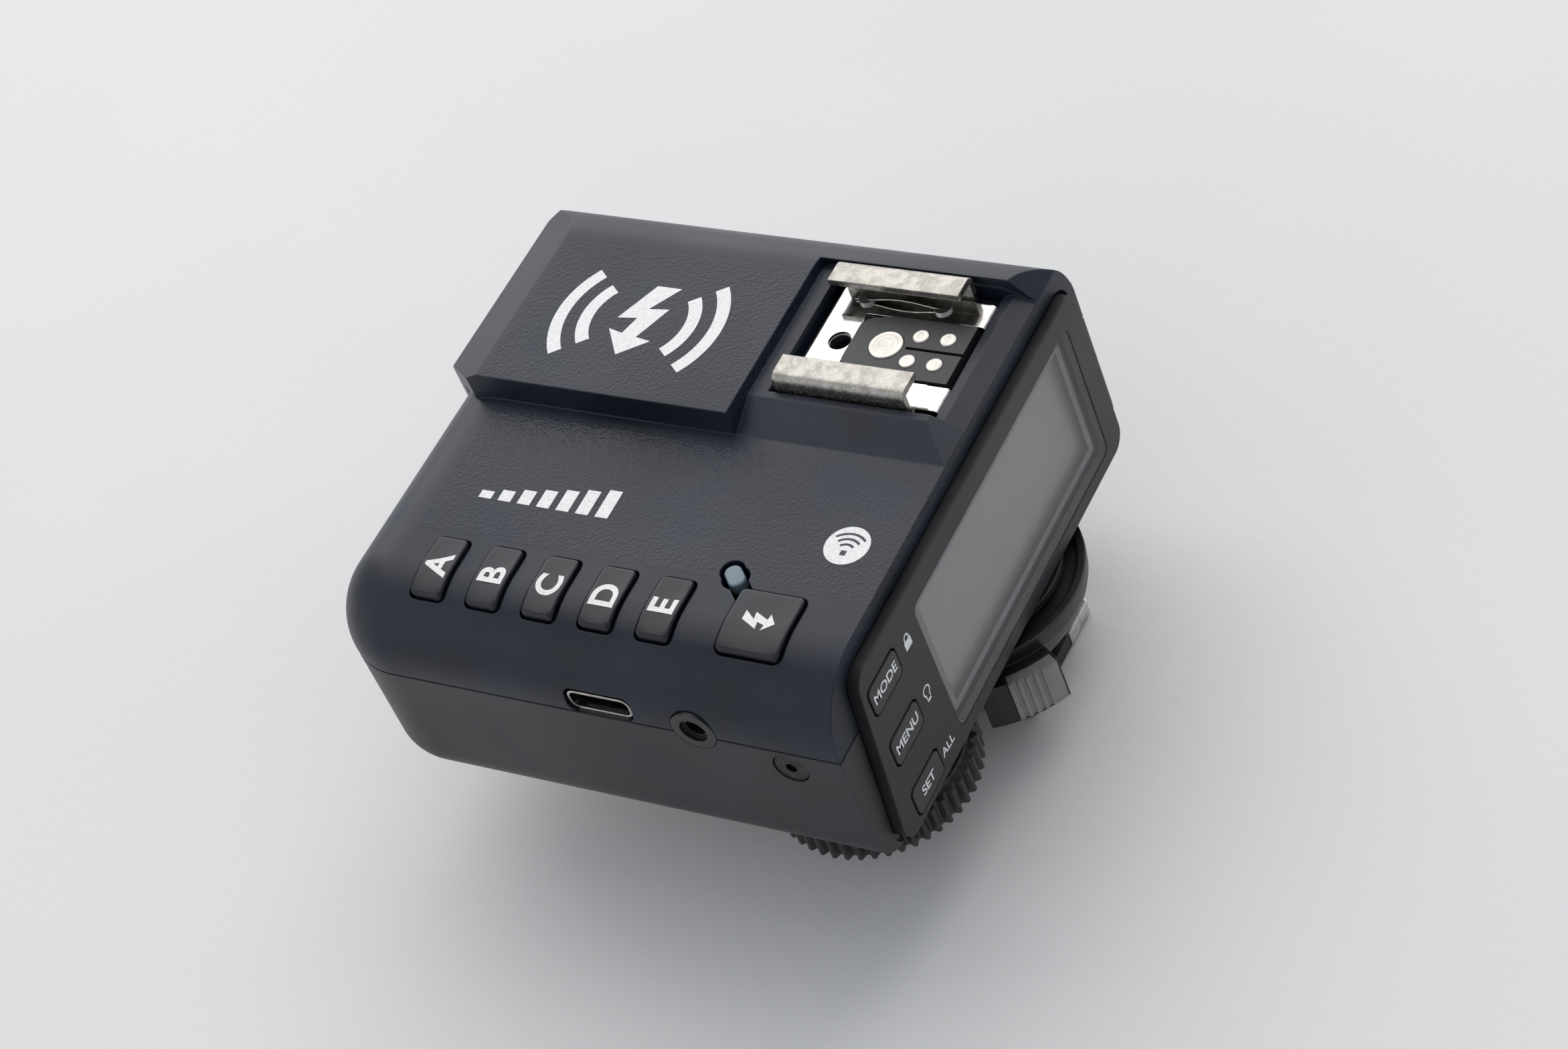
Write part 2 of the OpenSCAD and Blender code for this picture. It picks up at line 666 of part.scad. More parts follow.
module display_bezel() color("#2b2d31") placed() difference() {
    union() {
        along_y(-bezel_proud, bezel_seat) bezel_outline(0);
        along_y(bezel_seat, rear_wall - 0.2) bezel_outline(-bezel_ledge - fit_gap);
        for (x = display_boss_x, z = display_boss_z)
            translate([x, bezel_seat, z]) rotate([-90, 0, 0])
                cylinder(r = 1.1, h = display_board_y - bezel_seat);
    }
    for (x = display_boss_x, z = display_boss_z)
        translate([x, display_board_y - 2, z]) rotate([-90, 0, 0]) cylinder(r = 0.5, h = 4);
    along_y(-bezel_proud - 1, lens_t - bezel_proud + 0.1)
        polygon(rounded(box_pts(lens_x0 - 0.1, lens_z0 - 0.1, lens_x1 + 0.1, lens_z1 + 0.1), 1.3));
    along_y(-bezel_proud, rear_wall + 1)
        polygon(rounded(box_pts(lens_x0 + window_rim, lens_z0 + window_rim, lens_x1 - window_rim,
                                lens_z1 - window_rim), 0.6));
    // Seat for the display panel behind the window
    span([lens_x0 - 0.3, bezel_seat, lens_z0 - 0.3], [lens_x1 + 0.3, rear_wall + 1, lens_z1 + 0.3]);
    for (z = face_key_z) {
        along_y(-bezel_proud - 1, bezel_seat + 0.1)
            polygon(rounded(box_pts(face_key_x - face_key_w / 2 - key_gap, z - face_key_h / 2 - key_gap,
                                    face_key_x + face_key_w / 2 + key_gap, z + face_key_h / 2 + key_gap), 1));
        span([face_key_x - face_key_w / 2 - lip_w - lip_gap, bezel_seat - 0.4,
              z - face_key_h / 2 - lip_w - lip_gap],
             [face_key_x + face_key_w / 2 + lip_w + lip_gap, rear_wall + 1,
              z + face_key_h / 2 + lip_w + lip_gap]);
    }
}

module display_lens() color("#9aa0a6", 0.5) placed() along_y(-bezel_proud + 0.1, lens_t - bezel_proud + 0.1)
    polygon(rounded(box_pts(lens_x0, lens_z0, lens_x1, lens_z1), 1.2));

module lcd_panel() color("#a3a5a6") placed()
    span([lens_x0, bezel_seat, lens_z0], [lens_x1, bezel_seat + lcd_t, lens_z1]);

module lcd_backlight() color("#e8e8e2") placed()
    span([lens_x0, bezel_seat + lcd_t, lens_z0],
         [lens_x1, bezel_seat + lcd_t + backlight_t, lens_z1]);

module display_board() color("#1f5a3a") placed() difference() {
    span([left_x + 5.6, display_board_y, bezel_bottom + 2.4],
         [right_x - 3.2, display_board_y + display_board_t, bezel_top - 1.2]);
    for (x = display_boss_x, z = display_boss_z)
        translate([x, display_board_y - 1, z]) rotate([-90, 0, 0]) cylinder(r = 0.7, h = 4);
}
module display_screws() color("#b9bcc0") placed() for (x = display_boss_x, z = display_boss_z)
    translate([x, display_board_y, z]) rotate([-90, 0, 0]) {
        translate([0, 0, display_board_t]) cylinder(r = 1, h = 0.6);
        translate([0, 0, -1.6]) cylinder(r = 0.5, h = display_board_t + 1.8);
    }

module display_switches() color("#c9ccd0") placed() for (z = face_key_z) {
    span([face_key_x - 2.2, display_board_y - 1.4, z - 1.8], [face_key_x + 2.2, display_board_y, z + 1.8]);
    translate([face_key_x, display_board_y - 1.4, z]) rotate([90, 0, 0]) cylinder(r = 1, h = 0.5);
}

// One display key: face, retaining lip and pusher
module face_key(i) color("#26282c") placed() {
    z = face_key_z[i];
    along_y(-bezel_proud - face_key_proud, bezel_seat)
        polygon(rounded(box_pts(face_key_x - face_key_w / 2, z - face_key_h / 2,
                                face_key_x + face_key_w / 2, z + face_key_h / 2), 0.8));
    span([face_key_x - face_key_w / 2 - lip_w, bezel_seat - 0.2, z - face_key_h / 2 - lip_w],
         [face_key_x + face_key_w / 2 + lip_w, bezel_seat + lip_t, z + face_key_h / 2 + lip_w]);
    translate([face_key_x, bezel_seat, z]) rotate([-90, 0, 0])
        cylinder(r = 1.2, h = face_key_back - bezel_seat);
}
module mode_key() face_key(0);
module menu_key() face_key(1);
module set_key() face_key(2);

// Top of a key: the case's rolled surface raised by key_rise
module key_cap(x0, y0, x1, y1, lip_x0, lip_x1) {
    intersection() {
        key_prism(x0, y0, x1, y1, key_base_z, big, 0.7);
        translate([-key_rise * 0.4, 0, key_rise]) along_y(-1, body_d) front_profile(0);
    }
    span([lip_x0, y0 - key_lip, key_base_z], [lip_x1, y1 + key_lip, key_base_z + key_lip_h]);
}
module group_key(i) color("#1a1d25") placed()
    key_cap(key_x0, key_y[i] - key_w / 2, key_x1, key_y[i] + key_w / 2, key_x1 - 4.6, key_x1 - 0.4);
module group_key_a() group_key(0);
module group_key_b() group_key(1);
module group_key_c() group_key(2);
module group_key_d() group_key(3);
module group_key_e() group_key(4);

module test_key() color("#1a1d25") placed()
    key_cap(test_x - test_size / 2, test_y - test_size / 2, test_x + test_size / 2, test_y + test_size / 2,
            test_x + 0.4, test_x + 2.2);

module status_lamp_lens() color("#8fa3b3", 0.8) placed() {
    translate([lamp_x, lamp_y, deck_h - wall - eps]) cylinder(r = lamp_r, h = wall - 0.2);
    translate([lamp_x + 0.5, lamp_y + 0.5, deck_h - wall - 1]) cylinder(r = 3.2, h = 1);
}
module status_led() color("#e9e4c8") placed()
    span([lamp_x - 0.8, lamp_y - 0.5, keypad_board_z + keypad_board_t],
         [lamp_x + 0.8, lamp_y + 0.5, keypad_board_z + keypad_board_t + 0.8]);

module keypad_board() color("#1f5a3a") placed() difference() {
    span([key_x0 - 1.2, test_y - 5, keypad_board_z],
         [board_post_x + 2.2, key_y[0] + 4, keypad_board_z + keypad_board_t]);
    for (y = board_post_y)
        translate([board_post_x, y, keypad_board_z - 1]) cylinder(r = 1, h = 3);
}
module keypad_switches() color("#c9ccd0") placed() {
    top = keypad_board_z + keypad_board_t;
    for (y = concat(key_y, [test_y])) {
        span([key_switch_x - 2, y - 2, top], [key_switch_x + 2, y + 2, top + switch_h]);
        translate([key_switch_x, y, top + switch_h]) cylinder(r = 1, h = plunger_h);
    }
}
module keypad_screws() color("#b9bcc0") placed() for (y = board_post_y) {
    translate([board_post_x, y, keypad_board_z - 0.9]) cylinder(r = 1.6, h = 0.9);
    translate([board_post_x, y, keypad_board_z - 0.5]) cylinder(r = 0.8, h = 3.6);
}

// Rails of the shoe: a flat base with both sides turned up and over
module shoe_rails() color("#b8b4ac") placed() difference() {
    hw = rail_w / 2;
    along_y(rail_rear, rail_front) translate([shoe_x, 0]) difference() {
        translate([-hw, pocket_z]) square([rail_w, rail_top_z - pocket_z]);
        translate([-hw + rail_t, pocket_z + rail_t])
            square([rail_w - 2 * rail_t, rail_top_z - pocket_z - 2 * rail_t]);
        translate([-rail_gap / 2, pocket_z + rail_t]) square([rail_gap, big]);
        corner_mask(-hw, rail_top_z, 1.2, -1, 1);
        corner_mask(hw, rail_top_z, 1.2, 1, 1);
    }
    span([shoe_x - block_half_w - 0.1, rail_rear - 1, pocket_z - 1],
         [shoe_x + block_half_w + 0.1, contact_block_y1 + 0.1, pocket_z + rail_t + 0.1]);
    translate([shoe_x, shoe_pin_y, pocket_z - 1]) cylinder(r = 1.4, h = 3);
    for (sx = [-1, 1], y = shoe_screw_y)
        translate([shoe_x + sx * shoe_screw_x, y, pocket_z - 1]) cylinder(r = 0.8, h = 3);
}

// Sprung plate on the rails' base, with two rear tabs turned down
module shoe_spring_plate() color("#d6d6d6") placed() difference() {
    z0 = pocket_z + rail_t;
    tab_y = rail_rear - 2.6;
    union() {
        span([shoe_x - 8.9, rail_rear, z0], [shoe_x + 8.9, rail_front - 0.4, z0 + spring_t]);
        for (s = [-1, 1]) translate([shoe_x + s * 7, 0, 0]) {
            span([-1.9, tab_y, z0], [1.9, rail_rear + eps, z0 + spring_t]);
            along_x(-1.9, 1.9) intersection() {
                difference() {
                    translate([tab_y, z0 - 0.4]) circle(0.8);
                    translate([tab_y, z0 - 0.4]) circle(0.4);
                }
                translate([tab_y - 1, z0 - 0.4]) square([1, 1]);
            }
            span([-1.9, tab_y - 0.8, pocket_z + 0.1], [1.9, tab_y - 0.4, z0 - 0.4 + eps]);
        }
    }
    span([shoe_x - block_half_w - 0.1, rail_rear - 1, z0 - 1],
         [shoe_x + block_half_w + 0.1, contact_block_y1 + 0.1, z0 + 1]);
    translate([shoe_x, shoe_pin_y, z0 - 1]) cylinder(r = 1.5, h = 3);
    for (sx = [-1, 1], y = shoe_screw_y)
        translate([shoe_x + sx * shoe_screw_x, y, z0 - 1]) cylinder(r = 0.8, h = 3);
}

module shoe_contact_block() color("#17181b") placed() difference() {
    union() {
        translate([0, 0, pocket_z - 1.4]) linear_extrude(contact_z - 0.1 - pocket_z + 1.4)
            polygon(concat([[shoe_x + block_half_w, contact_block_y0],
                            [shoe_x + block_half_w, contact_block_y1 - 4]],
                           corner_arc([shoe_x + block_half_w, contact_block_y1 - 4],
                                      [shoe_x + block_half_w - 1, contact_block_y1],
                                      [shoe_x - 1, contact_block_y1], 1.5, 6),
                           corner_arc([shoe_x + 1, contact_block_y1],
                                      [shoe_x - block_half_w + 1, contact_block_y1],
                                      [shoe_x - block_half_w, contact_block_y1 - 4], 1.5, 6),
                           [[shoe_x - block_half_w, contact_block_y1 - 4],
                            [shoe_x - block_half_w, contact_block_y0]]));
        span([shoe_x - 3.6, contact_block_y0 + 2, pocket_z - 3.4],
             [shoe_x + 3.6, contact_block_y1 - 2, pocket_z - 1]);
    }
    translate([shoe_x, contact_centre_y, pocket_z - 2]) cylinder(r = big_contact_r + 0.02, h = 9);
    for (sx = [-1, 1], y = contact_row_y)
        translate([shoe_x + sx * contact_row_x, y, pocket_z - 2]) cylinder(r = small_contact_r + 0.02, h = 9);
    span([shoe_x - 0.2, contact_block_y0 - 1, contact_z - 0.7], [shoe_x + 0.2, contact_row_y[0] + 1.2, big]);
}

module shoe_contacts() color("#cfc6b4") placed() {
    length = contact_z - pocket_z + 2;
    translate([shoe_x, contact_centre_y, contact_z - length]) cylinder(r = big_contact_r, h = length);
    for (sx = [-1, 1], y = contact_row_y)
        translate([shoe_x + sx * contact_row_x, y, contact_z - length])
            cylinder(r = small_contact_r, h = length);
}

module shoe_screws() color("#c9c9c9") placed() for (sx = [-1, 1], y = shoe_screw_y)
    translate([shoe_x + sx * shoe_screw_x, y, 0]) {
        translate([0, 0, pocket_z - 1.8]) cylinder(r = 0.7, h = rail_t + spring_t + 2);
        translate([0, 0, pocket_z + rail_t + spring_t]) cylinder(r = 1.2, h = 0.35);
    }

module shoe_flex() color("#c07a2c") placed()
    span([shoe_x - 2, contact_centre_y - 0.2, board_top_z], [shoe_x + 2, contact_centre_y, pocket_z - 3.4]);

module main_board() color("#1f5a3a") placed() difference() {
    span([left_x + board_edge, board_y0, board_under_z],
         [right_x - board_edge, board_y1, board_top_z]);
    span([left_x, jack_y - 3.3, -big], [left_x + 12.2, jack_y + 3.3, big]);
    for (p = concat(board_posts, rear_posts))
        translate([p.x, p.y, -5]) cylinder(r = 1, h = 10);
}
module main_board_screws() color("#b9bcc0") placed() for (p = concat(board_posts, rear_posts)) {
    translate([p.x, p.y, board_top_z]) cylinder(r = 1.6, h = 0.9);
    translate([p.x, p.y, board_under_z - 1.2]) cylinder(r = 0.8, h = board_t + 1.5);
}
module radio_module() color("#c8cacc") placed()
    span([block_x + 4, plate_rear + 16, board_top_z], [block_x + 20, plate_rear + 33.5, board_top_z + 2.4]);
module antenna() color("#c9a24a") placed() {
    y = body_d - 12;
    span([block_x + 5, y, board_top_z], [block_x + 6.6, y + 0.4, plate_z - 3]);
    span([block_x + 5, y, plate_z - 4.6], [block_x + 25, y + 0.4, plate_z - 3]);
    span([block_x + 5, y, board_top_z], [block_x + 6.6, y + 3, board_top_z + 0.4]);
}

// USB socket: a metal shell round a plastic tongue
module usb_profile(g) polygon(rounded(box_pts(usb_y - usb_w / 2 - g, usb_z - usb_h / 2 - g,
                                              usb_y + usb_w / 2 + g, usb_z + usb_h / 2 + g), 1.2 + g));
module usb_socket() color("#b4b4b0") placed() {
    difference() {
        along_x(left_x + 0.4, left_x + 0.4 + usb_l) usb_profile(0);
        along_x(left_x, left_x + usb_l - 0.6) usb_profile(-0.35);
    }
}
module usb_tongue() color("#1b1b1d") placed()
    span([left_x + 1.6, usb_y - 3.2, usb_z - 0.35], [left_x + usb_l - 0.6, usb_y + 3.2, usb_z + 0.35]);

// Sync jack: threaded ring in front of a square body
module sync_jack() color("#222327") placed() difference() {
    union() {
        translate([left_x, jack_y, jack_z]) rotate([0, 90, 0]) cylinder(r = jack_ring_r, h = wall + 0.9);
        span([left_x + wall + 0.7, jack_y - 3.1, jack_z - 2.4],
             [left_x + wall + jack_bore_l, jack_y + 3.1, jack_z + 2.6]);
    }
    translate([left_x - 1, jack_y, jack_z]) rotate([0, 90, 0]) cylinder(r = 1.85, h = 1.6);
    translate([left_x - 1, jack_y, jack_z]) rotate([0, 90, 0])
        cylinder(r = jack_bore_r, h = 1 + jack_bore_l);
}

// Slide switches on the right side: knobs outside, bodies under the board
module slide_knob(slot_y) {
    y = slot_y - side_switch_travel / 2;
    z = side_switch_z;
    span([right_x - 0.7, y - knob_l / 2, z - knob_h / 2], [right_x - 0.05, y + knob_l / 2, z + knob_h / 2]);
    span([right_x - wall - 0.6, y - 1.1, z - 0.8], [right_x - 0.6, y + 1.1, z + 0.8]);
}
module power_switch() color("#1c1e22") placed() slide_knob(side_switch_y[0]);
module assist_switch() color("#1c1e22") placed() slide_knob(side_switch_y[1]);
module switch_bodies() color("#c4c6c9") placed() for (y = side_switch_y)
    span([right_x - wall - 3.1, y - 4.4, side_switch_z - 1.9],
         [right_x - wall - 0.7, y + 4.4, board_under_z]);

module assist_window() color("#5a0d12", 0.85) placed() intersection() {
    along_y(body_d - 2.4, body_d) assist_outline(0);
    linear_extrude(big) plan_profile(0, 0);
}
module assist_led() color("#b01818") placed() {
    y = body_d - 8;
    span([assist_x - 2, y, board_top_z], [assist_x + 2, y + 1.6, board_top_z + 6.4]);
    translate([assist_x, y + 1.6, board_top_z + 4.2]) rotate([-90, 0, 0]) cylinder(r = 1.5, h = 2.6);
}

// Select dial with a toothed rim and a dished underside, on its shaft
module at_dial(z) translate([left_x + dial_inset, dial_y, z]) children();

module select_dial() color("#1a1b1e") placed() at_dial(dial_z)
    difference() {
        union() {
            linear_extrude(dial_t - 1) polygon([for (i = [0:dial_teeth * 4 - 1])
                let (r = (i % 4 < 2) ? dial_r : dial_r - tooth_h)
                    r * [cos(i * 90 / dial_teeth), sin(i * 90 / dial_teeth)]]);
            translate([0, 0, dial_t - 1 - eps]) cylinder(r = dial_r - 1, h = 1 + eps);
        }
        translate([0, 0, -1]) cylinder(r = dial_r - 2.4, h = 1.6);
        translate([0, 0, 1.4]) cylinder(r = dial_shaft_r, h = dial_t);
    }
module dial_shaft() color("#8f9296") placed() at_dial(dial_z + 1.4)
    cylinder(r = dial_shaft_r, h = floor_z + encoder_h - 0.2 - dial_z - 1.4);
module dial_encoder() color("#5a5d61") placed() at_dial(floor_z) difference() {
    span([-4.9, -4.3, 0], [4.9, 4.9, encoder_h]);
    translate([0, 0, -1]) cylinder(r = dial_shaft_r + running_gap, h = 8);
}

// Foot: hub under the case, turning lock ring, metal plate and contacts
module at_foot() translate([foot_x, foot_y, 0]) children();

module foot_hub() color("#1b1c1f") placed() at_foot() difference() {
    union() {
        translate([0, 0, under_z - disc_t]) cylinder(r = disc_r, h = disc_t);
        translate([0, 0, ring_low_z]) cylinder(r = hub_r, h = under_z - ring_low_z);
        translate([0, 0, plate_top_z]) linear_extrude(lip_space) intersection() {
            polygon(rounded(box_pts(-neck_w / 2, -neck_l / 2, neck_w / 2, neck_l / 2), 2));
            circle(9);
        }
    }
    translate([0, 0, plate_top_z - 1]) cylinder(r = hub_bore_r, h = big);
    span([-foot_block_w - 0.1, -neck_l / 2 - 1, plate_top_z - 1], [foot_block_w + 0.1, 2.9, ring_low_z]);
    for (a = [90:120:330])
        translate([hub_screw_r * cos(a), hub_screw_r * sin(a), under_z - 5]) cylinder(r = 0.85, h = 9);
    for (sx = [-1, 1], sy = [-1, 1])
        translate([sx * foot_screw_x, sy * foot_screw_y, plate_top_z - 1])
            cylinder(r = 0.85, h = lip_space + 0.9);
    translate([0, lock_pin_y, plate_top_z - 1]) 
        cylinder(r = lock_pin_r + running_gap, h = lip_space + pin_travel + 2.5);
}
module hub_screws() color("#b9bcc0") placed() at_foot() for (a = [90:120:330])
    translate([hub_screw_r * cos(a), hub_screw_r * sin(a), 0]) {
        translate([0, 0, floor_z]) cylinder(r = 1.7, h = 1);
        translate([0, 0, under_z - 4]) cylinder(r = 0.8, h = wall + 4.4);
    }

// Half-section of the lock ring, tapering from its rim to its lower end
module ring_section() {
    bore = hub_r + running_gap;
    polygon(concat([[bore, ring_low_z + 0.2], [ring_low_r, ring_low_z + 0.2]],
                   [for (i = [0:6]) let (t = i / 6)
                       [ring_low_r + (ring_r - ring_low_r) * sin(90 * t),
                        ring_low_z + 0.8 + (ring_top_z - 1.6 - ring_low_z) * t]],
                   [[ring_r, ring_top_z], [ring_r - 1, ring_top_z],
                    [ring_r - 1.4, ring_top_z - 0.6], [bore, ring_top_z - 0.6]]));
}
// Plan of the lever's handle between two angles and out to radius r
module sector(r, a0, a1) polygon(concat([[0, 0]], [for (i = [0:6]) r * [cos(a0 + (a1 - a0) * i / 6),
                                                                         sin(a0 + (a1 - a0) * i / 6)]]));
module lock_ring() color("#17181b") placed() at_foot() difference() {
    union() {
        rotate_extrude() ring_section();
        translate([0, 0, handle_z0]) linear_extrude(handle_z1 - handle_z0) difference() {
            sector(handle_r + cap_t, lever_angle - 18, lever_angle + 17);
            circle(ring_low_r);
        }
    }
    translate([0, 0, handle_z0 + 0.4]) linear_extrude(handle_z1 - handle_z0) difference() {
        sector(big, lever_angle - 6, lever_angle + 16);
        circle(handle_r);
    }
    translate([0, 0, plate_top_z]) cylinder(r = hub_r + running_gap, h = big);
}
module lever_cap() color("#8d8c88") placed() at_foot() difference() {
    translate([0, 0, handle_z0 + 0.4]) linear_extrude(handle_z1 - handle_z0 - 0.4) difference() {
        sector(handle_r + cap_t + 0.3, lever_angle - 5.8, lever_angle + 15.8);
        circle(handle_r);
    }
    for (i = [0:3])
        rotate(lever_angle - 3 + i * 3.6) translate([handle_r + cap_t + 0.3, 0, handle_z0 - 1])
            cylinder(r = 0.3, h = big, $fn = 16);
}

// Spring-loaded lock pin, in front of the middle contact, driven down by the ring
module lock_pin() color("#c4c4c4") placed() at_foot()
    translate([0, lock_pin_y, sole_z + 0.1])
        cylinder(r = lock_pin_r, h = foot_t + lip_space + pin_travel - 0.9);

module foot_plate() color("#c9c9c6") placed() at_foot() difference() {
    translate([0, 0, sole_z]) linear_extrude(foot_t)
        polygon(rounded(box_pts(-foot_w / 2, -foot_l / 2, foot_w / 2, foot_l / 2), 0.8));
    span([-foot_block_w - 0.1, -foot_l / 2 - 1, sole_z - 1], [foot_block_w + 0.1, 2.9, plate_top_z + 1]);
    translate([0, lock_pin_y, sole_z - 1]) cylinder(r = lock_pin_r + running_gap, h = 4);
    for (sx = [-1, 1], sy = [-1, 1]) translate([sx * foot_screw_x, sy * foot_screw_y, sole_z - 1]) {
        cylinder(r = 0.9, h = 4);
        cylinder(r = 1.35, h = 1.9);
    }
}
module foot_screws() color("#9da0a3") placed() at_foot() for (sx = [-1, 1], sy = [-1, 1])
    translate([sx * foot_screw_x, sy * foot_screw_y, 0]) difference() {
        union() {
            translate([0, 0, sole_z + 0.1]) cylinder(r = 1.25, h = 0.8);
            translate([0, 0, sole_z + 0.1]) cylinder(r = 0.8, h = foot_t + 1.6);
        }
        translate([0, 0, sole_z]) cylinder(r = 0.5, h = 0.5, $fn = 6);
    }
foot_pins = concat([[0, 0]], [for (sx = [-1, 1], y = contact_row_y)
                              [sx * contact_row_x, y - contact_centre_y]]);
module foot_contact_block() color("#151618") placed() at_foot() difference() {
    union() {
        span([-foot_block_w, -foot_l / 2 + 0.1, sole_z + 0.05], [foot_block_w, 2.8, plate_top_z]);
        span([-foot_block_w, -neck_l / 2 + 0.6, plate_top_z - eps], [foot_block_w, 2.8, ring_low_z - 0.05]);
    }
    for (p = foot_pins)
        translate([p.x, p.y, sole_z - 1]) cylinder(r = (p == [0, 0] ? 1.2 : 0.7) + running_gap, h = 4.2);
}
module foot_centre_pin() color("#cdb46a") placed() at_foot() translate([0, 0, sole_z - 0.4])
    cylinder(r = 1.2, h = 3);
module foot_signal_pins() color("#cdb46a") placed() at_foot() for (p = foot_pins)
    if (p != [0, 0]) translate([p.x, p.y, sole_z - 0.4]) cylinder(r = 0.7, h = 3);
module foot_flex() color("#c07a2c") placed() at_foot() {
    span([-1.8, -0.2, ring_low_z], [1.8, 0, board_under_z - 0.2]);
    span([-1.8, -0.2, board_under_z - 0.2 - eps], [1.8, 4.6, board_under_z - eps]);
}

module battery_cover() color("#23262d") placed() {
    intersection() {
        difference() {
            case_form(0, 0);
            case_form(cover_t, cover_t);
        }
        difference() {
            union() {
                cover_prism(0);
                span([-cover_half, body_d - bottom_r, -base_h - 1], [cover_half, body_d + 1, cover_lip_z]);
            }
            // The tongues stop short of the front edge
            for (s = [-1, 1])
                span([s * (cover_half + 1) - 1, body_d - 3, floor_z - 2],
                     [s * (cover_half + 1) + 1, body_d + 2, floor_z]);
        }
    }
}
// One AA cell lying along X with its nub at the end that s points to
module cell(y, s) translate([-s * (spring_l - button_l) / -2, y, cell_z]) rotate([0, s * 90, 0])
    translate([0, 0, -cell_l / 2]) {
        cylinder(r = cell_r, h = cell_l - nub_l);
        cylinder(r = nub_r, h = cell_l);
    }
module battery_cell_front() color("#33363c") placed() cell(cell_y[0], -1);
module battery_cell_rear() color("#33363c") placed() cell(cell_y[1], 1);

// End plates of the bay: a leaf spring at each cell's flat end and a raised button at its nub
module battery_contacts() color("#c9c9c2") placed() for (s = [-1, 1]) scale([s, 1, 1]) {
    x = bay_half - contact_t;
    spring_y = s > 0 ? cell_y[0] : cell_y[1];
    nub_y = s > 0 ? cell_y[1] : cell_y[0];
    span([x, bay_y0 + 2, cell_z - 5], [x + contact_t, bay_y1 - 2, bay_top_z - 0.2]);
    span([x, bay_y0 + 6.4, bay_top_z - 0.4], [x + contact_t, bay_y0 + 8.6, board_under_z]);
    translate([x + eps, nub_y, cell_z]) rotate([0, -90, 0]) cylinder(r = 2.2, h = button_l + eps);
    translate([0, 0, cell_z - 3]) linear_extrude(6) polygon([
        [x, spring_y - 5], [x - spring_l + 0.05, spring_y - 0.6], [x - spring_l + 0.05, spring_y + 0.6],
        [x, spring_y + 5], [x, spring_y + 4.4], [x - spring_l + 0.5, spring_y + 0.4],
        [x - spring_l + 0.5, spring_y - 0.4], [x, spring_y - 4.4]]);
}

top_shell();
bottom_shell();
display_bezel();
display_lens();
lcd_panel();
lcd_backlight();
display_board();
display_switches();
mode_key();
menu_key();
set_key();
group_key_a();
group_key_b();
group_key_c();
group_key_d();
group_key_e();
test_key();
status_lamp_lens();
status_led();
keypad_board();
keypad_switches();
keypad_screws();
display_screws();
shoe_rails();
shoe_spring_plate();
shoe_contact_block();
shoe_contacts();
shoe_screws();
shoe_flex();
main_board();
main_board_screws();
radio_module();
antenna();
usb_socket();
usb_tongue();
sync_jack();
power_switch();
assist_switch();
switch_bodies();
assist_window();
assist_led();
select_dial();
dial_shaft();
dial_encoder();
foot_hub();
hub_screws();
lock_ring();
lever_cap();
lock_pin();
foot_plate();
foot_screws();
foot_contact_block();
foot_centre_pin();
foot_signal_pins();
foot_flex();
battery_cover();
battery_cell_front();
battery_cell_rear();
battery_contacts();
case_screws();
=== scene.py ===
"""Looks of a wireless flash trigger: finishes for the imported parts, legends and the fine pieces."""

import logging
import math
from dataclasses import dataclass, field
from enum import Enum
from typing import Callable, Sequence

import bmesh
import bpy
from mathutils import Matrix, Vector


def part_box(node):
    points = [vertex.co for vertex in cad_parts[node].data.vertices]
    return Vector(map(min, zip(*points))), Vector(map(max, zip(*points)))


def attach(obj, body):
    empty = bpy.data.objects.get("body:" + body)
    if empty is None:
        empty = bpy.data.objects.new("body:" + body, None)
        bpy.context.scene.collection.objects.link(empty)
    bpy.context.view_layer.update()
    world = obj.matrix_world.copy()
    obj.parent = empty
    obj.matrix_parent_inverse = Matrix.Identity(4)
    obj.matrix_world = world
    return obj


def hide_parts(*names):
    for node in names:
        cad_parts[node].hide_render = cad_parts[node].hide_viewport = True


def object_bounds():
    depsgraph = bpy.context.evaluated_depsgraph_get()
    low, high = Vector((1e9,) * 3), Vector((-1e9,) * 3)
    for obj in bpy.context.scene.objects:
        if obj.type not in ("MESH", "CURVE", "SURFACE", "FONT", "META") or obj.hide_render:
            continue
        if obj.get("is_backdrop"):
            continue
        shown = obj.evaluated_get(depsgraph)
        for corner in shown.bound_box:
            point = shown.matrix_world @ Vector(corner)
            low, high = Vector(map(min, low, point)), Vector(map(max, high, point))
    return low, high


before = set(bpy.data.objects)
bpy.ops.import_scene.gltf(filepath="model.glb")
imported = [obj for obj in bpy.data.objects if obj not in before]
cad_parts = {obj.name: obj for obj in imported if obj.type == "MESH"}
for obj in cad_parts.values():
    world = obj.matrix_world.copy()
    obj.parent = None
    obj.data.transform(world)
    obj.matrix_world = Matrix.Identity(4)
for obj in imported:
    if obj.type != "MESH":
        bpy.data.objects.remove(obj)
LOG = logging.getLogger("flash_trigger")
MM = 0.001


class Grain(Enum):
    """How a moulded or metal surface is textured."""

    LEATHER = "leather"
    SATIN = "satin"
    STIPPLE = "stipple"


class Axis(Enum):
    """The axis that a shape is sliced along, as its place in a vector."""

    X = 0
    Y = 1


@dataclass(frozen=True)
class Datum:
    """Turns the case's own frame into the row frame.

    The case's frame is in millimetres: x from its middle to the photographer's right, y from its
    rear face forwards, z from the parting line upwards.
    """

    middle: float
    rear: float
    seam: float

    def at(self, x: float, y: float, z: float) -> Vector:
        """Gives the row-frame point, in metres, of a point of the case's frame."""
        return Vector((self.middle + x * MM, self.rear + y * MM, self.seam + z * MM))

    def matrix(self) -> Matrix:
        """Gives the transform from the case's frame to the row frame."""
        return Matrix.Translation((self.middle, self.rear, self.seam)) @ Matrix.Scale(MM, 4)


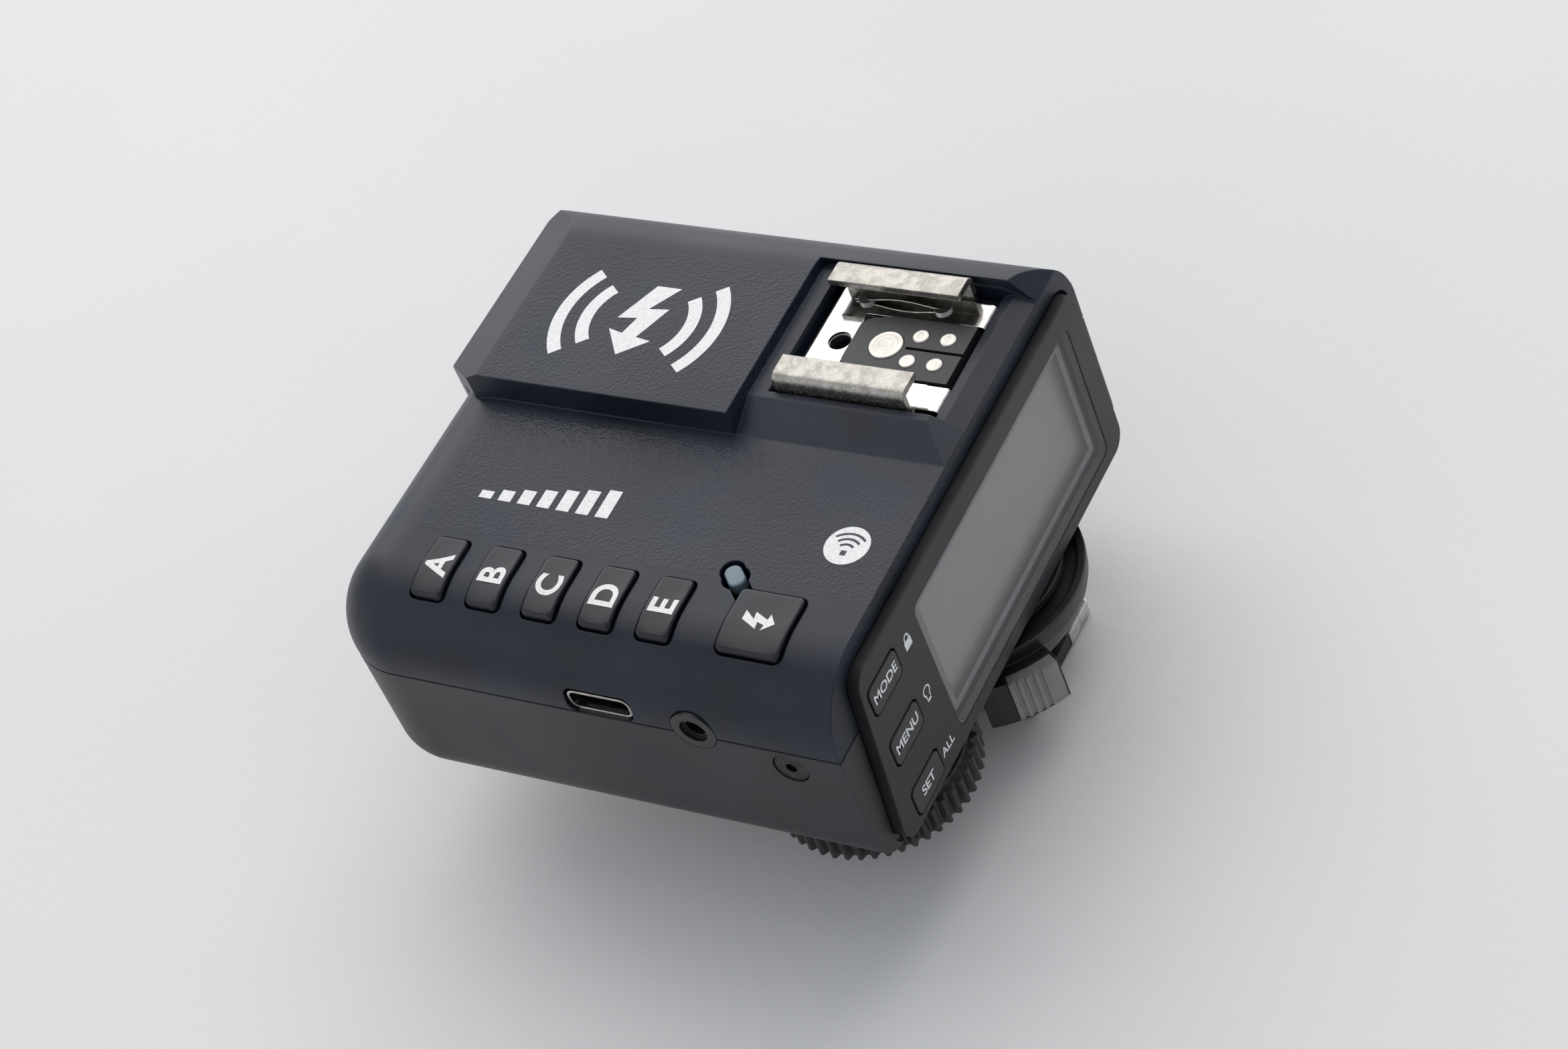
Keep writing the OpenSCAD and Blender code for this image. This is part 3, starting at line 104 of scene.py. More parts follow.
def case_datum() -> Datum:
    """Reads the case's frame from the boxes of its two halves.

    Returns:
        The datum that every piece is placed from.
    """
    low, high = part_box("top_shell")
    return Datum((low.x + high.x) / 2, low.y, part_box("bottom_shell")[1].z)


class Graph:
    """A material's node tree with its Principled shader, and short ways to add nodes to it."""

    def __init__(self, name: str, color: Sequence[float], roughness: float, metallic: float = 0.0) -> None:
        """Starts a material.

        Args:
            name: The material's name.
            color: Its base colour, linear.
            roughness: Its roughness.
            metallic: 1 for a metal.
        """
        self.material = bpy.data.materials.new(name)
        self.material.use_nodes = True
        self.tree = self.material.node_tree
        self.shader = self.tree.nodes["Principled BSDF"]
        self.shader.inputs["Base Color"].default_value = (*color[:3], 1.0)
        self.shader.inputs["Roughness"].default_value = roughness
        self.shader.inputs["Metallic"].default_value = metallic
        self.coords = self.node("ShaderNodeTexCoord").outputs["Object"]

    def node(self, kind: str, **settings: object) -> bpy.types.Node:
        """Adds a node and sets its properties."""
        made = self.tree.nodes.new(kind)
        for name, value in settings.items():
            setattr(made, name, value)
        return made

    def join(self, source: bpy.types.NodeSocket, target: bpy.types.NodeSocket) -> None:
        """Links two sockets."""
        self.tree.links.new(source, target)

    def fill(self, node: bpy.types.Node, **values: object) -> bpy.types.Node:
        """Sets a node's inputs from names or links them from sockets.

        Args:
            node: The node.
            values: Input names with spaces as underscores; a value is a number, a tuple or a socket.

        Returns:
            The same node.
        """
        for name, value in values.items():
            socket = node.inputs[name.replace("_", " ")]
            if isinstance(value, bpy.types.NodeSocket):
                self.join(value, socket)
            else:
                socket.default_value = value
        return node

    def math(self, operation: str, a: object, b: object = 0.0) -> bpy.types.NodeSocket:
        """Adds a Math node on two numbers or sockets and gives its output."""
        made = self.node("ShaderNodeMath", operation=operation)
        for socket, value in zip(made.inputs, (a, b)):
            if isinstance(value, bpy.types.NodeSocket):
                self.join(value, socket)
            else:
                socket.default_value = value
        return made.outputs[0]

    def noise(self, scale: float, detail: float = 2.0,
              vector: bpy.types.NodeSocket | None = None) -> bpy.types.NodeSocket:
        """Adds noise on Object coordinates, or on a given vector, and gives its factor."""
        made = self.node("ShaderNodeTexNoise")
        self.fill(made, Vector=vector or self.coords, Scale=scale, Detail=detail)
        return made.outputs["Fac"]

    def ramp(self, value: object, low: float, high: float, out_low: float,
             out_high: float) -> bpy.types.NodeSocket:
        """Maps a value smoothly from one range to another and gives the result."""
        made = self.node("ShaderNodeMapRange", interpolation_type="SMOOTHSTEP")
        self.join(value, made.inputs["Value"])
        for name, number in zip(("From Min", "From Max", "To Min", "To Max"), (low, high, out_low, out_high)):
            made.inputs[name].default_value = number
        return made.outputs["Result"]

    def mix(self, factor: object, a: Sequence[float], b: Sequence[float]) -> bpy.types.NodeSocket:
        """Mixes two colours by a factor socket and gives the colour."""
        made = self.node("ShaderNodeMix", data_type="RGBA")
        self.join(factor, made.inputs[0])
        made.inputs[6].default_value = (*a[:3], 1.0)
        made.inputs[7].default_value = (*b[:3], 1.0)
        return made.outputs[2]

    def relief(self, height: bpy.types.NodeSocket, depth: float, edge: float) -> None:
        """Bumps the surface and rounds its edges.

        Args:
            height: The height pattern, 0 to 1.
            depth: Its depth in metres.
            edge: The radius that sharp edges are rounded to in shading, in metres.
        """
        bump = self.node("ShaderNodeBump")
        self.fill(bump, Height=height, Distance=depth, Strength=1.0)
        if edge:
            rounded = self.node("ShaderNodeBevel", samples=6)
            rounded.inputs["Radius"].default_value = edge
            self.join(rounded.outputs["Normal"], bump.inputs["Normal"])
        self.join(bump.outputs["Normal"], self.shader.inputs["Normal"])

    def edge_mask(self, radius: float) -> bpy.types.NodeSocket:
        """Gives 1 along sharp edges and 0 on flats, for edge wear and a painted edge highlight."""
        rounded = self.node("ShaderNodeBevel", samples=4)
        rounded.inputs["Radius"].default_value = radius
        flat = self.node("ShaderNodeNewGeometry")
        dot = self.node("ShaderNodeVectorMath", operation="DOT_PRODUCT")
        self.join(rounded.outputs["Normal"], dot.inputs[0])
        self.join(flat.outputs["Normal"], dot.inputs[1])
        return self.ramp(dot.outputs["Value"], 0.8, 0.99, 1.0, 0.0)


@dataclass(frozen=True)
class Moulded:
    """Moulded plastic or rubber: mottled colour, fine grain, and lighter edges, partly rubbed by handling and
    partly a painted highlight.
    """

    name: str
    color: tuple[float, float, float]
    roughness: float = 0.42
    grain: Grain = Grain.SATIN
    depth: float = 0.010
    edge: float = 0.22
    specular: float = 0.5
    mottle: float = 1.0

    def material(self) -> bpy.types.Material:
        """Builds the material."""
        graph = Graph(self.name, self.color, self.roughness)
        graph.shader.inputs["Specular IOR Level"].default_value = self.specular
        clouds = graph.noise(90.0, 4.0)
        lighter = [min(1.0, c * (1 + 0.35 * self.mottle) + 0.003 * self.mottle) for c in self.color]
        darker = [c * (1 - 0.22 * self.mottle) for c in self.color]
        # Sharp edges are painted lighter in noisy patches: partly handling wear, partly a painted highlight
        # along the edges.
        worn = graph.node("ShaderNodeMix", data_type="RGBA")
        graph.join(graph.mix(graph.ramp(clouds, 0.3, 0.7, 0.0, 1.0), darker, lighter), worn.inputs[6])
        worn.inputs[7].default_value = (*[min(1.0, c * 1.9 + 0.012) for c in self.color], 1.0)
        graph.join(graph.math("MULTIPLY", graph.edge_mask(0.25 * MM),
                              graph.ramp(graph.noise(260.0), 0.42, 0.7, 0.0, 0.7)), worn.inputs[0])
        graph.join(worn.outputs[2], graph.shader.inputs["Base Color"])
        smudge = graph.ramp(graph.noise(45.0, 5.0), 0.35, 0.75, self.roughness - 0.05, self.roughness + 0.09)
        graph.join(smudge, graph.shader.inputs["Roughness"])
        graph.relief(self.height(graph), self.depth * MM, self.edge * MM)
        return graph.material

    def height(self, graph: Graph) -> bpy.types.NodeSocket:
        """Builds the grain's height pattern in a graph."""
        if self.grain is Grain.LEATHER:
            return leather(graph)
        return graph.noise(5200.0, 3.0)


def leather(graph: Graph) -> bpy.types.NodeSocket:
    """Adds a pebbled leather grain of about half a millimetre.

    Args:
        graph: The material's graph.

    Returns:
        The height, 0 to 1.
    """
    bent = graph.node("ShaderNodeMix", data_type="VECTOR")
    bent.inputs[0].default_value = 0.00035
    warp = graph.node("ShaderNodeTexNoise")
    graph.fill(warp, Vector=graph.coords, Scale=1500.0, Detail=2.0)
    graph.join(graph.coords, bent.inputs[4])
    graph.join(warp.outputs["Color"], bent.inputs[5])
    cells = graph.node("ShaderNodeTexVoronoi", feature="SMOOTH_F1")
    graph.fill(cells, Vector=bent.outputs[1], Scale=2300.0, Smoothness=0.6)
    pebble = graph.ramp(cells.outputs["Distance"], 0.1, 0.65, 1.0, 0.0)
    return graph.math("ADD", graph.math("MULTIPLY", pebble, 0.75),
                      graph.math("MULTIPLY", graph.noise(4200.0, 3.0), 0.25))


@dataclass(frozen=True)
class DeckPlastic(Moulded):
    """The upper case's plastic: leather grain on its two flat tops, satin everywhere else."""

    datum: Datum = None
    deck: tuple[float, float, float, float] = (-21.0, -1.2, -0.4, 64.0)
    plate: tuple[float, float, float, float] = (1.6, 25.4, 28.8, 66.0)
    top: float = 10.3

    def zone(self, graph: Graph, area: tuple[float, float, float, float]) -> bpy.types.NodeSocket:
        """Gives 1 inside an area of the top seen from above, with a soft border."""
        split = graph.node("ShaderNodeSeparateXYZ")
        graph.join(graph.coords, split.inputs[0])
        low, high = self.datum.at(area[0], area[2], self.top), self.datum.at(area[1], area[3], self.top)
        soft = 0.35 * MM
        inside = graph.ramp(split.outputs["Z"], low.z - soft, low.z, 0.0, 1.0)
        for axis, name in enumerate("XY"):
            value, start, end = split.outputs[name], low[axis], high[axis]
            inside = graph.math("MULTIPLY", inside, graph.ramp(value, start - soft, start + soft, 0.0, 1.0))
            inside = graph.math("MULTIPLY", inside, graph.ramp(value, end - soft, end + soft, 1.0, 0.0))
        return inside

    def height(self, graph: Graph) -> bpy.types.NodeSocket:
        """Builds leather grain in the two zones over satin elsewhere."""
        zones = graph.math("MAXIMUM", self.zone(graph, self.deck), self.zone(graph, self.plate))
        rough = graph.math("MULTIPLY", leather(graph), zones)
        fine = graph.math("MULTIPLY", graph.noise(5200.0, 3.0), 0.10)
        return graph.math("ADD", rough, fine)


@dataclass(frozen=True)
class Nickel:
    """Plated sheet metal, stippled, satin or bright."""

    name: str
    color: tuple[float, float, float]
    roughness: float
    grain: Grain = Grain.STIPPLE
    depth: float = 0.02
    edge: float = 0.12

    def material(self) -> bpy.types.Material:
        """Builds the material."""
        graph = Graph(self.name, self.color, self.roughness, 1.0)
        scale = 2600.0 if self.grain is Grain.STIPPLE else 900.0
        pits = graph.noise(scale, 3.0)
        dull = [c * 0.72 for c in self.color]
        graph.join(graph.mix(graph.ramp(graph.noise(700.0, 4.0), 0.35, 0.65, 0.0, 1.0), dull, self.color),
                   graph.shader.inputs["Base Color"])
        spread = 0.16 if self.grain is Grain.STIPPLE else 0.05
        graph.join(graph.ramp(pits, 0.3, 0.7, self.roughness - spread / 2, self.roughness + spread),
                   graph.shader.inputs["Roughness"])
        graph.relief(pits, self.depth * MM, self.edge * MM)
        return graph.material


@dataclass(frozen=True)
class Turned:
    """Bright metal with fine rings turned round an upright line through a centre."""

    name: str
    color: tuple[float, float, float]
    centre: Vector
    pitch: float = 0.10
    roughness: float = 0.24

    def material(self) -> bpy.types.Material:
        """Builds the material."""
        graph = Graph(self.name, self.color, self.roughness, 1.0)
        moved = graph.node("ShaderNodeMapping", vector_type="POINT")
        graph.join(graph.coords, moved.inputs["Vector"])
        moved.inputs["Location"].default_value = -self.centre
        rings = graph.node("ShaderNodeTexWave", wave_type="RINGS", rings_direction="Z")
        graph.fill(rings, Vector=moved.outputs["Vector"], Scale=1.0 / (self.pitch * MM * 20.0),
                   Distortion=0.6, Detail=2.0)
        graph.join(graph.ramp(rings.outputs["Fac"], 0.0, 1.0, self.roughness - 0.05, self.roughness + 0.12),
                   graph.shader.inputs["Roughness"])
        tarnish = graph.ramp(graph.noise(500.0, 4.0), 0.4, 0.75, 0.0, 0.6)
        graph.join(graph.mix(tarnish, self.color, [c * 0.7 for c in self.color]),
                   graph.shader.inputs["Base Color"])
        graph.relief(rings.outputs["Fac"], 0.006 * MM, 0.08 * MM)
        return graph.material


@dataclass(frozen=True)
class Clear:
    """Clear or tinted plastic."""

    name: str
    color: tuple[float, float, float]
    roughness: float = 0.08
    alpha: float = 0.25

    def material(self) -> bpy.types.Material:
        """Builds the material."""
        graph = Graph(self.name, self.color, self.roughness)
        graph.shader.inputs["Alpha"].default_value = self.alpha
        haze = graph.ramp(graph.noise(120.0, 4.0), 0.35, 0.8, self.roughness, self.roughness + 0.02)
        graph.join(haze, graph.shader.inputs["Roughness"])
        return graph.material


@dataclass(frozen=True)
class Ink:
    """Printed ink on grained plastic, slightly broken up by the grain."""

    name: str
    color: tuple[float, float, float] = (0.80, 0.81, 0.82)
    worn: float = 0.35

    def material(self) -> bpy.types.Material:
        """Builds the material."""
        graph = Graph(self.name, self.color, 0.55)
        speckle = graph.ramp(graph.noise(3200.0, 3.0), 0.42, 0.75, 0.0, self.worn)
        graph.join(graph.mix(speckle, self.color, [c * 0.45 for c in self.color]),
                   graph.shader.inputs["Base Color"])
        graph.relief(graph.noise(2600.0, 2.0), 0.012 * MM, 0.0)
        return graph.material


@dataclass(frozen=True)
class Board:
    """A printed circuit board: solder mask with faint tracks under it."""

    name: str
    color: tuple[float, float, float] = (0.02, 0.15, 0.07)

    def material(self) -> bpy.types.Material:
        """Builds the material."""
        graph = Graph(self.name, self.color, 0.32)
        tracks = graph.node("ShaderNodeTexBrick")
        graph.fill(tracks, Vector=graph.coords, Scale=160.0)
        tracks.inputs["Color1"].default_value = (*self.color, 1.0)
        tracks.inputs["Color2"].default_value = (*[c * 1.5 for c in self.color], 1.0)
        tracks.inputs["Mortar"].default_value = (*[c * 2.3 + 0.01 for c in self.color], 1.0)
        tracks.inputs["Mortar Size"].default_value = 0.012
        graph.join(tracks.outputs["Color"], graph.shader.inputs["Base Color"])
        graph.relief(tracks.outputs["Fac"], 0.02 * MM, 0.1 * MM)
        return graph.material


@dataclass(frozen=True)
class CellSleeve:
    """A cell's printed sleeve: dark, with a plain coloured band near its nub."""

    name: str
    band: float
    color: tuple[float, float, float] = (0.03, 0.035, 0.05)
    band_color: tuple[float, float, float] = (0.62, 0.30, 0.06)

    def material(self) -> bpy.types.Material:
        """Builds the material."""
        graph = Graph(self.name, self.color, 0.28, 0.4)
        split = graph.node("ShaderNodeSeparateXYZ")
        graph.join(graph.coords, split.inputs[0])
        distance = graph.math("ABSOLUTE", graph.math("SUBTRACT", split.outputs["X"], self.band))
        graph.join(graph.mix(graph.ramp(distance, 5.6 * MM, 5.8 * MM, 1.0, 0.0), self.color, self.band_color),
                   graph.shader.inputs["Base Color"])
        graph.relief(graph.noise(600.0, 3.0), 0.01 * MM, 0.2 * MM)
        return graph.material


@dataclass
class Bench:
    """Where new pieces are made: in the case's millimetres, then placed on a CAD body."""

    datum: Datum
    made: dict[str, bpy.types.Material] = field(default_factory=dict)

    def material(self, finish: object) -> bpy.types.Material:
        """Builds a finish once and gives its material."""
        if finish.name not in self.made:
            self.made[finish.name] = finish.material()
        return self.made[finish.name]

    def dress(self, finish: object, *nodes: str) -> None:
        """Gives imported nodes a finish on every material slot."""
        for node in nodes:
            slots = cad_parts[node].material_slots
            for slot in slots:
                slot.material = self.material(finish)
            LOG.info("dressed %s in %s", node, finish.name)

    def corners(self, node: str) -> tuple[Vector, Vector]:
        """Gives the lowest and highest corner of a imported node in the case's millimetres."""
        back = self.datum.matrix().inverted()
        low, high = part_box(node)
        return back @ low, back @ high

    def place(self, shape: bmesh.types.BMesh, name: str, body: str, finish: object, slot: str,
              stands_for: Sequence[str] = (), angle: float = 32.0,
              facing: Vector | None = None) -> bpy.types.Object:
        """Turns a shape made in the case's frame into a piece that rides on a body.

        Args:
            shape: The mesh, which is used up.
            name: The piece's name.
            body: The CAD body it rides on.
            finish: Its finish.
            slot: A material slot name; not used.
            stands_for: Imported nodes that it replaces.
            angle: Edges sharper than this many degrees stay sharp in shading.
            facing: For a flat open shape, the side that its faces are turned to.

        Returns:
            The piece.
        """
        bmesh.ops.transform(shape, matrix=self.datum.matrix(), verts=shape.verts)
        bmesh.ops.recalc_face_normals(shape, faces=shape.faces)
        if facing:
            shape.normal_update()
            bmesh.ops.reverse_faces(shape, faces=[f for f in shape.faces if f.normal.dot(facing) < 0])
        for face in shape.faces:
            face.smooth = True
        for edge in shape.edges:
            edge.smooth = edge.calc_face_angle(0.0) < math.radians(angle)
        mesh = bpy.data.meshes.new(name)
        shape.to_mesh(mesh)
        shape.free()
        mesh.materials.append(self.material(finish))
        piece = bpy.data.objects.new(name, mesh)
        bpy.context.scene.collection.objects.link(piece)
        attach(piece, body)
        if stands_for:
            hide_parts(*stands_for)
        LOG.info("made %s on %s: %d faces", name, body, len(mesh.polygons))
        return piece


def rounded_slab(low: Vector, high: Vector, corner: float, edge: float, corner_steps: int = 5,
                 edge_steps: int = 3) -> bmesh.types.BMesh:
    """Makes a block with rounded upright corners and a rounded top edge.

    Args:
        low: Its lowest corner, in the case's millimetres.
        high: Its highest corner.
        corner: The radius of the upright corners.
        edge: The radius of the top edge.
        corner_steps: Segments on a corner.
        edge_steps: Segments on the top edge.

    Returns:
        The shape.
    """
    shape = bmesh.new()
    bmesh.ops.create_cube(shape, size=1.0)
    size = high - low
    bmesh.ops.scale(shape, vec=size, verts=shape.verts)
    bmesh.ops.translate(shape, vec=(low + high) / 2, verts=shape.verts)
    upright = [e for e in shape.edges if abs(e.verts[0].co.z - e.verts[1].co.z) > size.z / 2]
    bmesh.ops.bevel(shape, geom=upright, offset=corner, segments=corner_steps, affect="EDGES", profile=0.5,
                    material=-1)
    top = [e for e in shape.edges if all(v.co.z > high.z - 1e-4 for v in e.verts)]
    bmesh.ops.bevel(shape, geom=top, offset=edge, segments=edge_steps, affect="EDGES", profile=0.5,
                    material=-1)
    return shape


def slice_along(shape: bmesh.types.BMesh, axis: Axis, step: float) -> None:
    """Cuts a shape with evenly spaced planes, so that it can follow a curved surface.

    Args:
        shape: The mesh, changed in place.
        axis: The axis the planes are square to.
        step: Their spacing.
    """
    normal = Vector((0.0, 0.0, 0.0))
    normal[axis.value] = 1.0
    values = [v.co[axis.value] for v in shape.verts]
    count = int((max(values) - min(values)) / step)
    for i in range(1, count + 1):
        place = normal * (min(values) + i * step)
        bmesh.ops.bisect_plane(shape, geom=[*shape.verts, *shape.edges, *shape.faces], dist=1e-5,
                               plane_co=place, plane_no=normal)


def lathe(profile: Sequence[tuple[float, float]], centre: Vector, steps: int = 48) -> bmesh.types.BMesh:
    """Spins an outline of (radius, height) points round an upright axis.

    Args:
        profile: The outline, from the axis outwards and back.
        centre: Where the axis starts, in the case's millimetres.
        steps: Steps of the full turn.

    Returns:
        The shape.
    """
    shape = bmesh.new()
    points = [shape.verts.new((radius, 0.0, height)) for radius, height in profile]
    edges = [shape.edges.new(pair) for pair in zip(points, points[1:])]
    bmesh.ops.spin(shape, geom=[*points, *edges], cent=(0, 0, 0), axis=(0, 0, 1), angle=math.tau, steps=steps,
                   use_merge=True)
    bmesh.ops.remove_doubles(shape, verts=shape.verts, dist=1e-5)
    bmesh.ops.translate(shape, vec=centre, verts=shape.verts)
    return shape


def glyphs(text: str, bold: float) -> bmesh.types.BMesh:
    """Makes flat lettering, scaled to one unit high and centred on the origin.

    Args:
        text: The letters.
        bold: How much the strokes are thickened, as a share of the font's size.

    Returns:
        The shape, in X and Y, facing +Z.
    """
    curve = bpy.data.curves.new("legend_curve", "FONT")
    curve.body = text
    curve.offset = bold
    curve.resolution_u = 6
    holder = bpy.data.objects.new("legend_holder", curve)
    bpy.context.scene.collection.objects.link(holder)
    bpy.context.view_layer.update()
    mesh = bpy.data.meshes.new_from_object(holder.evaluated_get(bpy.context.evaluated_depsgraph_get()))
    shape = bmesh.new()
    shape.from_mesh(mesh)
    bpy.data.objects.remove(holder)
    bpy.data.curves.remove(curve)
    bpy.data.meshes.remove(mesh)
    settle(shape)
    return shape


def settle(shape: bmesh.types.BMesh) -> None:
    """Centres a flat shape on the origin and scales it to one unit high."""
    xs = [v.co.x for v in shape.verts]
    ys = [v.co.y for v in shape.verts]
    middle = Vector(((max(xs) + min(xs)) / 2, (max(ys) + min(ys)) / 2, 0.0))
    height = max(ys) - min(ys)
    bmesh.ops.translate(shape, vec=-middle, verts=shape.verts)
    bmesh.ops.scale(shape, vec=Vector((1, 1, 1)) / height, verts=shape.verts)


def outline(points: Sequence[tuple[float, float]]) -> bmesh.types.BMesh:
    """Makes one flat face from a few outline points."""
    shape = bmesh.new()
    shape.faces.new([shape.verts.new((x, y, 0.0)) for x, y in points])
    shape.normal_update()
    bmesh.ops.triangulate(shape, faces=shape.faces)
    return shape


def ring_band(inner: float, outer: float, start: float, end: float, steps: int) -> bmesh.types.BMesh:
    """Makes a flat ring or arc band.

    Args:
        inner: Its inner radius.
        outer: Its outer radius.
        start: Where it starts, in degrees.
        end: Where it ends.
        steps: Segments along it.

    Returns:
        The shape, in X and Y.
    """
    shape = bmesh.new()
    pair = [shape.verts.new((r * math.cos(math.radians(start)), r * math.sin(math.radians(start)), 0.0))
            for r in (inner, outer)]
    edge = shape.edges.new(pair)
    full = abs(end - start) >= 360.0
    bmesh.ops.spin(shape, geom=[*pair, edge], cent=(0, 0, 0), axis=(0, 0, 1), angle=math.radians(end - start),
                   steps=steps, use_merge=full)
    bmesh.ops.remove_doubles(shape, verts=shape.verts, dist=1e-6)
    return shape


def merged(*shapes: bmesh.types.BMesh) -> bmesh.types.BMesh:
    """Joins several shapes into the first and frees the rest."""
    first = shapes[0]
    for other in shapes[1:]:
        holder = bpy.data.meshes.new("merge_holder")
        other.to_mesh(holder)
        first.from_mesh(holder)
        bpy.data.meshes.remove(holder)
        other.free()
    return first


def moved(shape: bmesh.types.BMesh, x: float, y: float, scale: float = 1.0,
          turn: float = 0.0) -> bmesh.types.BMesh:
    """Scales, turns in degrees and moves a flat shape."""
    place, turned = Matrix.Translation((x, y, 0)), Matrix.Rotation(math.radians(turn), 4, "Z")
    bmesh.ops.transform(shape, matrix=place @ turned @ Matrix.Scale(scale, 4), verts=shape.verts)
    return shape


@dataclass
class Printer:
    """Prints legends on the object: thin raised ink that follows the surface under it."""

    bench: Bench
    lift: float = 0.02
    ink: Ink = field(default_factory=lambda: Ink("white_ink"))

    def stamp(self, shape: bmesh.types.BMesh, name: str, body: str, origin: Vector, right: Vector, up: Vector,
              size: tuple[float, float],
              surface: Callable[[float, float], float] | None = None) -> bpy.types.Object:
        """Lays a flat shape on a surface.

        Args:
            shape: The flat shape, one unit high, in X and Y.
            name: The piece's name.
            body: The body it rides on.
            origin: Where its middle goes, in the case's millimetres.
            right: The direction of its own +X.
            up: The direction of its own +Y.
            size: Its width scale and its height, in millimetres.
            surface: For a curved top, its height at an (x, y) place; the origin's height if left out.

        Returns:
            The piece.
        """
        bmesh.ops.scale(shape, vec=(size[0], size[1], 1.0), verts=shape.verts)
        if surface:
            slice_along(shape, Axis.X, 0.25)
        out = right.cross(up)
        basis = Matrix((right, up, out)).transposed().to_4x4()
        bmesh.ops.transform(shape, matrix=Matrix.Translation(origin + out * self.lift) @ basis,
                            verts=shape.verts)
        if surface:
            for vert in shape.verts:
                vert.co.z = surface(vert.co.x, vert.co.y) + self.lift
        return self.bench.place(shape, name, body, self.ink, "key_rubber", facing=out)


def bolt() -> bmesh.types.BMesh:
    """Makes a lightning bolt with an arrowhead, the usual mark of a test flash."""
    shape = outline([(0.24, 0.50), (-0.06, 0.50), (-0.30, 0.00), (-0.07, 0.03), (-0.14, -0.20),
                     (-0.32, -0.16), (-0.06, -0.50), (0.24, -0.26), (0.05, -0.23), (0.24, 0.20),
                     (0.00, 0.17)])
    settle(shape)
    return shape


def padlock() -> bmesh.types.BMesh:
    """Makes a padlock: a body with a shackle over it."""
    body = outline([(-0.34, -0.5), (0.34, -0.5), (0.34, 0.08), (-0.34, 0.08)])
    bow = moved(ring_band(0.15, 0.25, 0.0, 180.0, 12), 0.0, 0.24)
    legs = [outline([(x, 0.08), (x + 0.10, 0.08), (x + 0.10, 0.24), (x, 0.24)]) for x in (-0.25, 0.15)]
    return merged(body, bow, *legs)


def lamp_mark() -> bmesh.types.BMesh:
    """Makes a light bulb: an open round glass over a small cap."""
    glass = moved(ring_band(0.24, 0.33, -52.0, 232.0, 24), 0.0, 0.17)
    neck = [outline([(x, -0.30), (x + 0.08, -0.30), (x + 0.08, -0.06), (x, -0.06)]) for x in (-0.21, 0.13)]
    cap = outline([(-0.17, -0.5), (0.17, -0.5), (0.17, -0.34), (-0.17, -0.34)])
    return merged(glass, *neck, cap)


def signal_mark() -> bmesh.types.BMesh:
    """Makes a plain sending mark: a bolt between two pairs of arcs."""
    stroke, reach = 0.15, 38.0
    parts = [bolt()]
    for side in (0.0, 180.0):
        for inner, steps in ((0.55, 20), (0.86, 24)):
            parts.append(ring_band(inner, inner + stroke, side - reach, side + reach, steps))
    return merged(*parts)


def level_mark() -> bmesh.types.BMesh:
    """Makes a row of bars that grow in steps, a plain signal-strength mark."""
    count, start, pitch, width, foot = 7, -1.9, 0.62, 0.4, -0.5
    bars = []
    for i in range(count):
        x, top = start + i * pitch, -0.35 + 0.12 * (i + 1)
        bars.append(outline([(x, foot), (x + width, foot), (x + width, top), (x, top)]))
    return merged(*bars)


@dataclass
class Case:
    """The two case halves with their screws and the ports in the left side."""

    bench: Bench
    navy: tuple[float, float, float] = (0.0045, 0.0080, 0.0200)
    grey: tuple[float, float, float] = (0.0120, 0.0132, 0.0165)

    def build(self) -> None:
        """Dresses the case, its cover, screws and ports."""
        dress = self.bench.dress
        dress(DeckPlastic("case_navy", self.navy, 0.40, Grain.LEATHER, 0.055, 0.28, 0.36,
                          datum=self.bench.datum), "top_shell")
        dress(Moulded("base_grey", self.grey, 0.44, depth=0.008, edge=0.3), "bottom_shell", "battery_cover")
        dress(Nickel("dark_screw", (0.06, 0.06, 0.065), 0.38, Grain.SATIN, 0.01), "case_screws")
        dress(Nickel("port_metal", (0.55, 0.52, 0.48), 0.22, Grain.SATIN, 0.006), "usb_socket")
        dress(Moulded("port_black", (0.008, 0.008, 0.009), 0.35), "usb_tongue", "sync_jack")


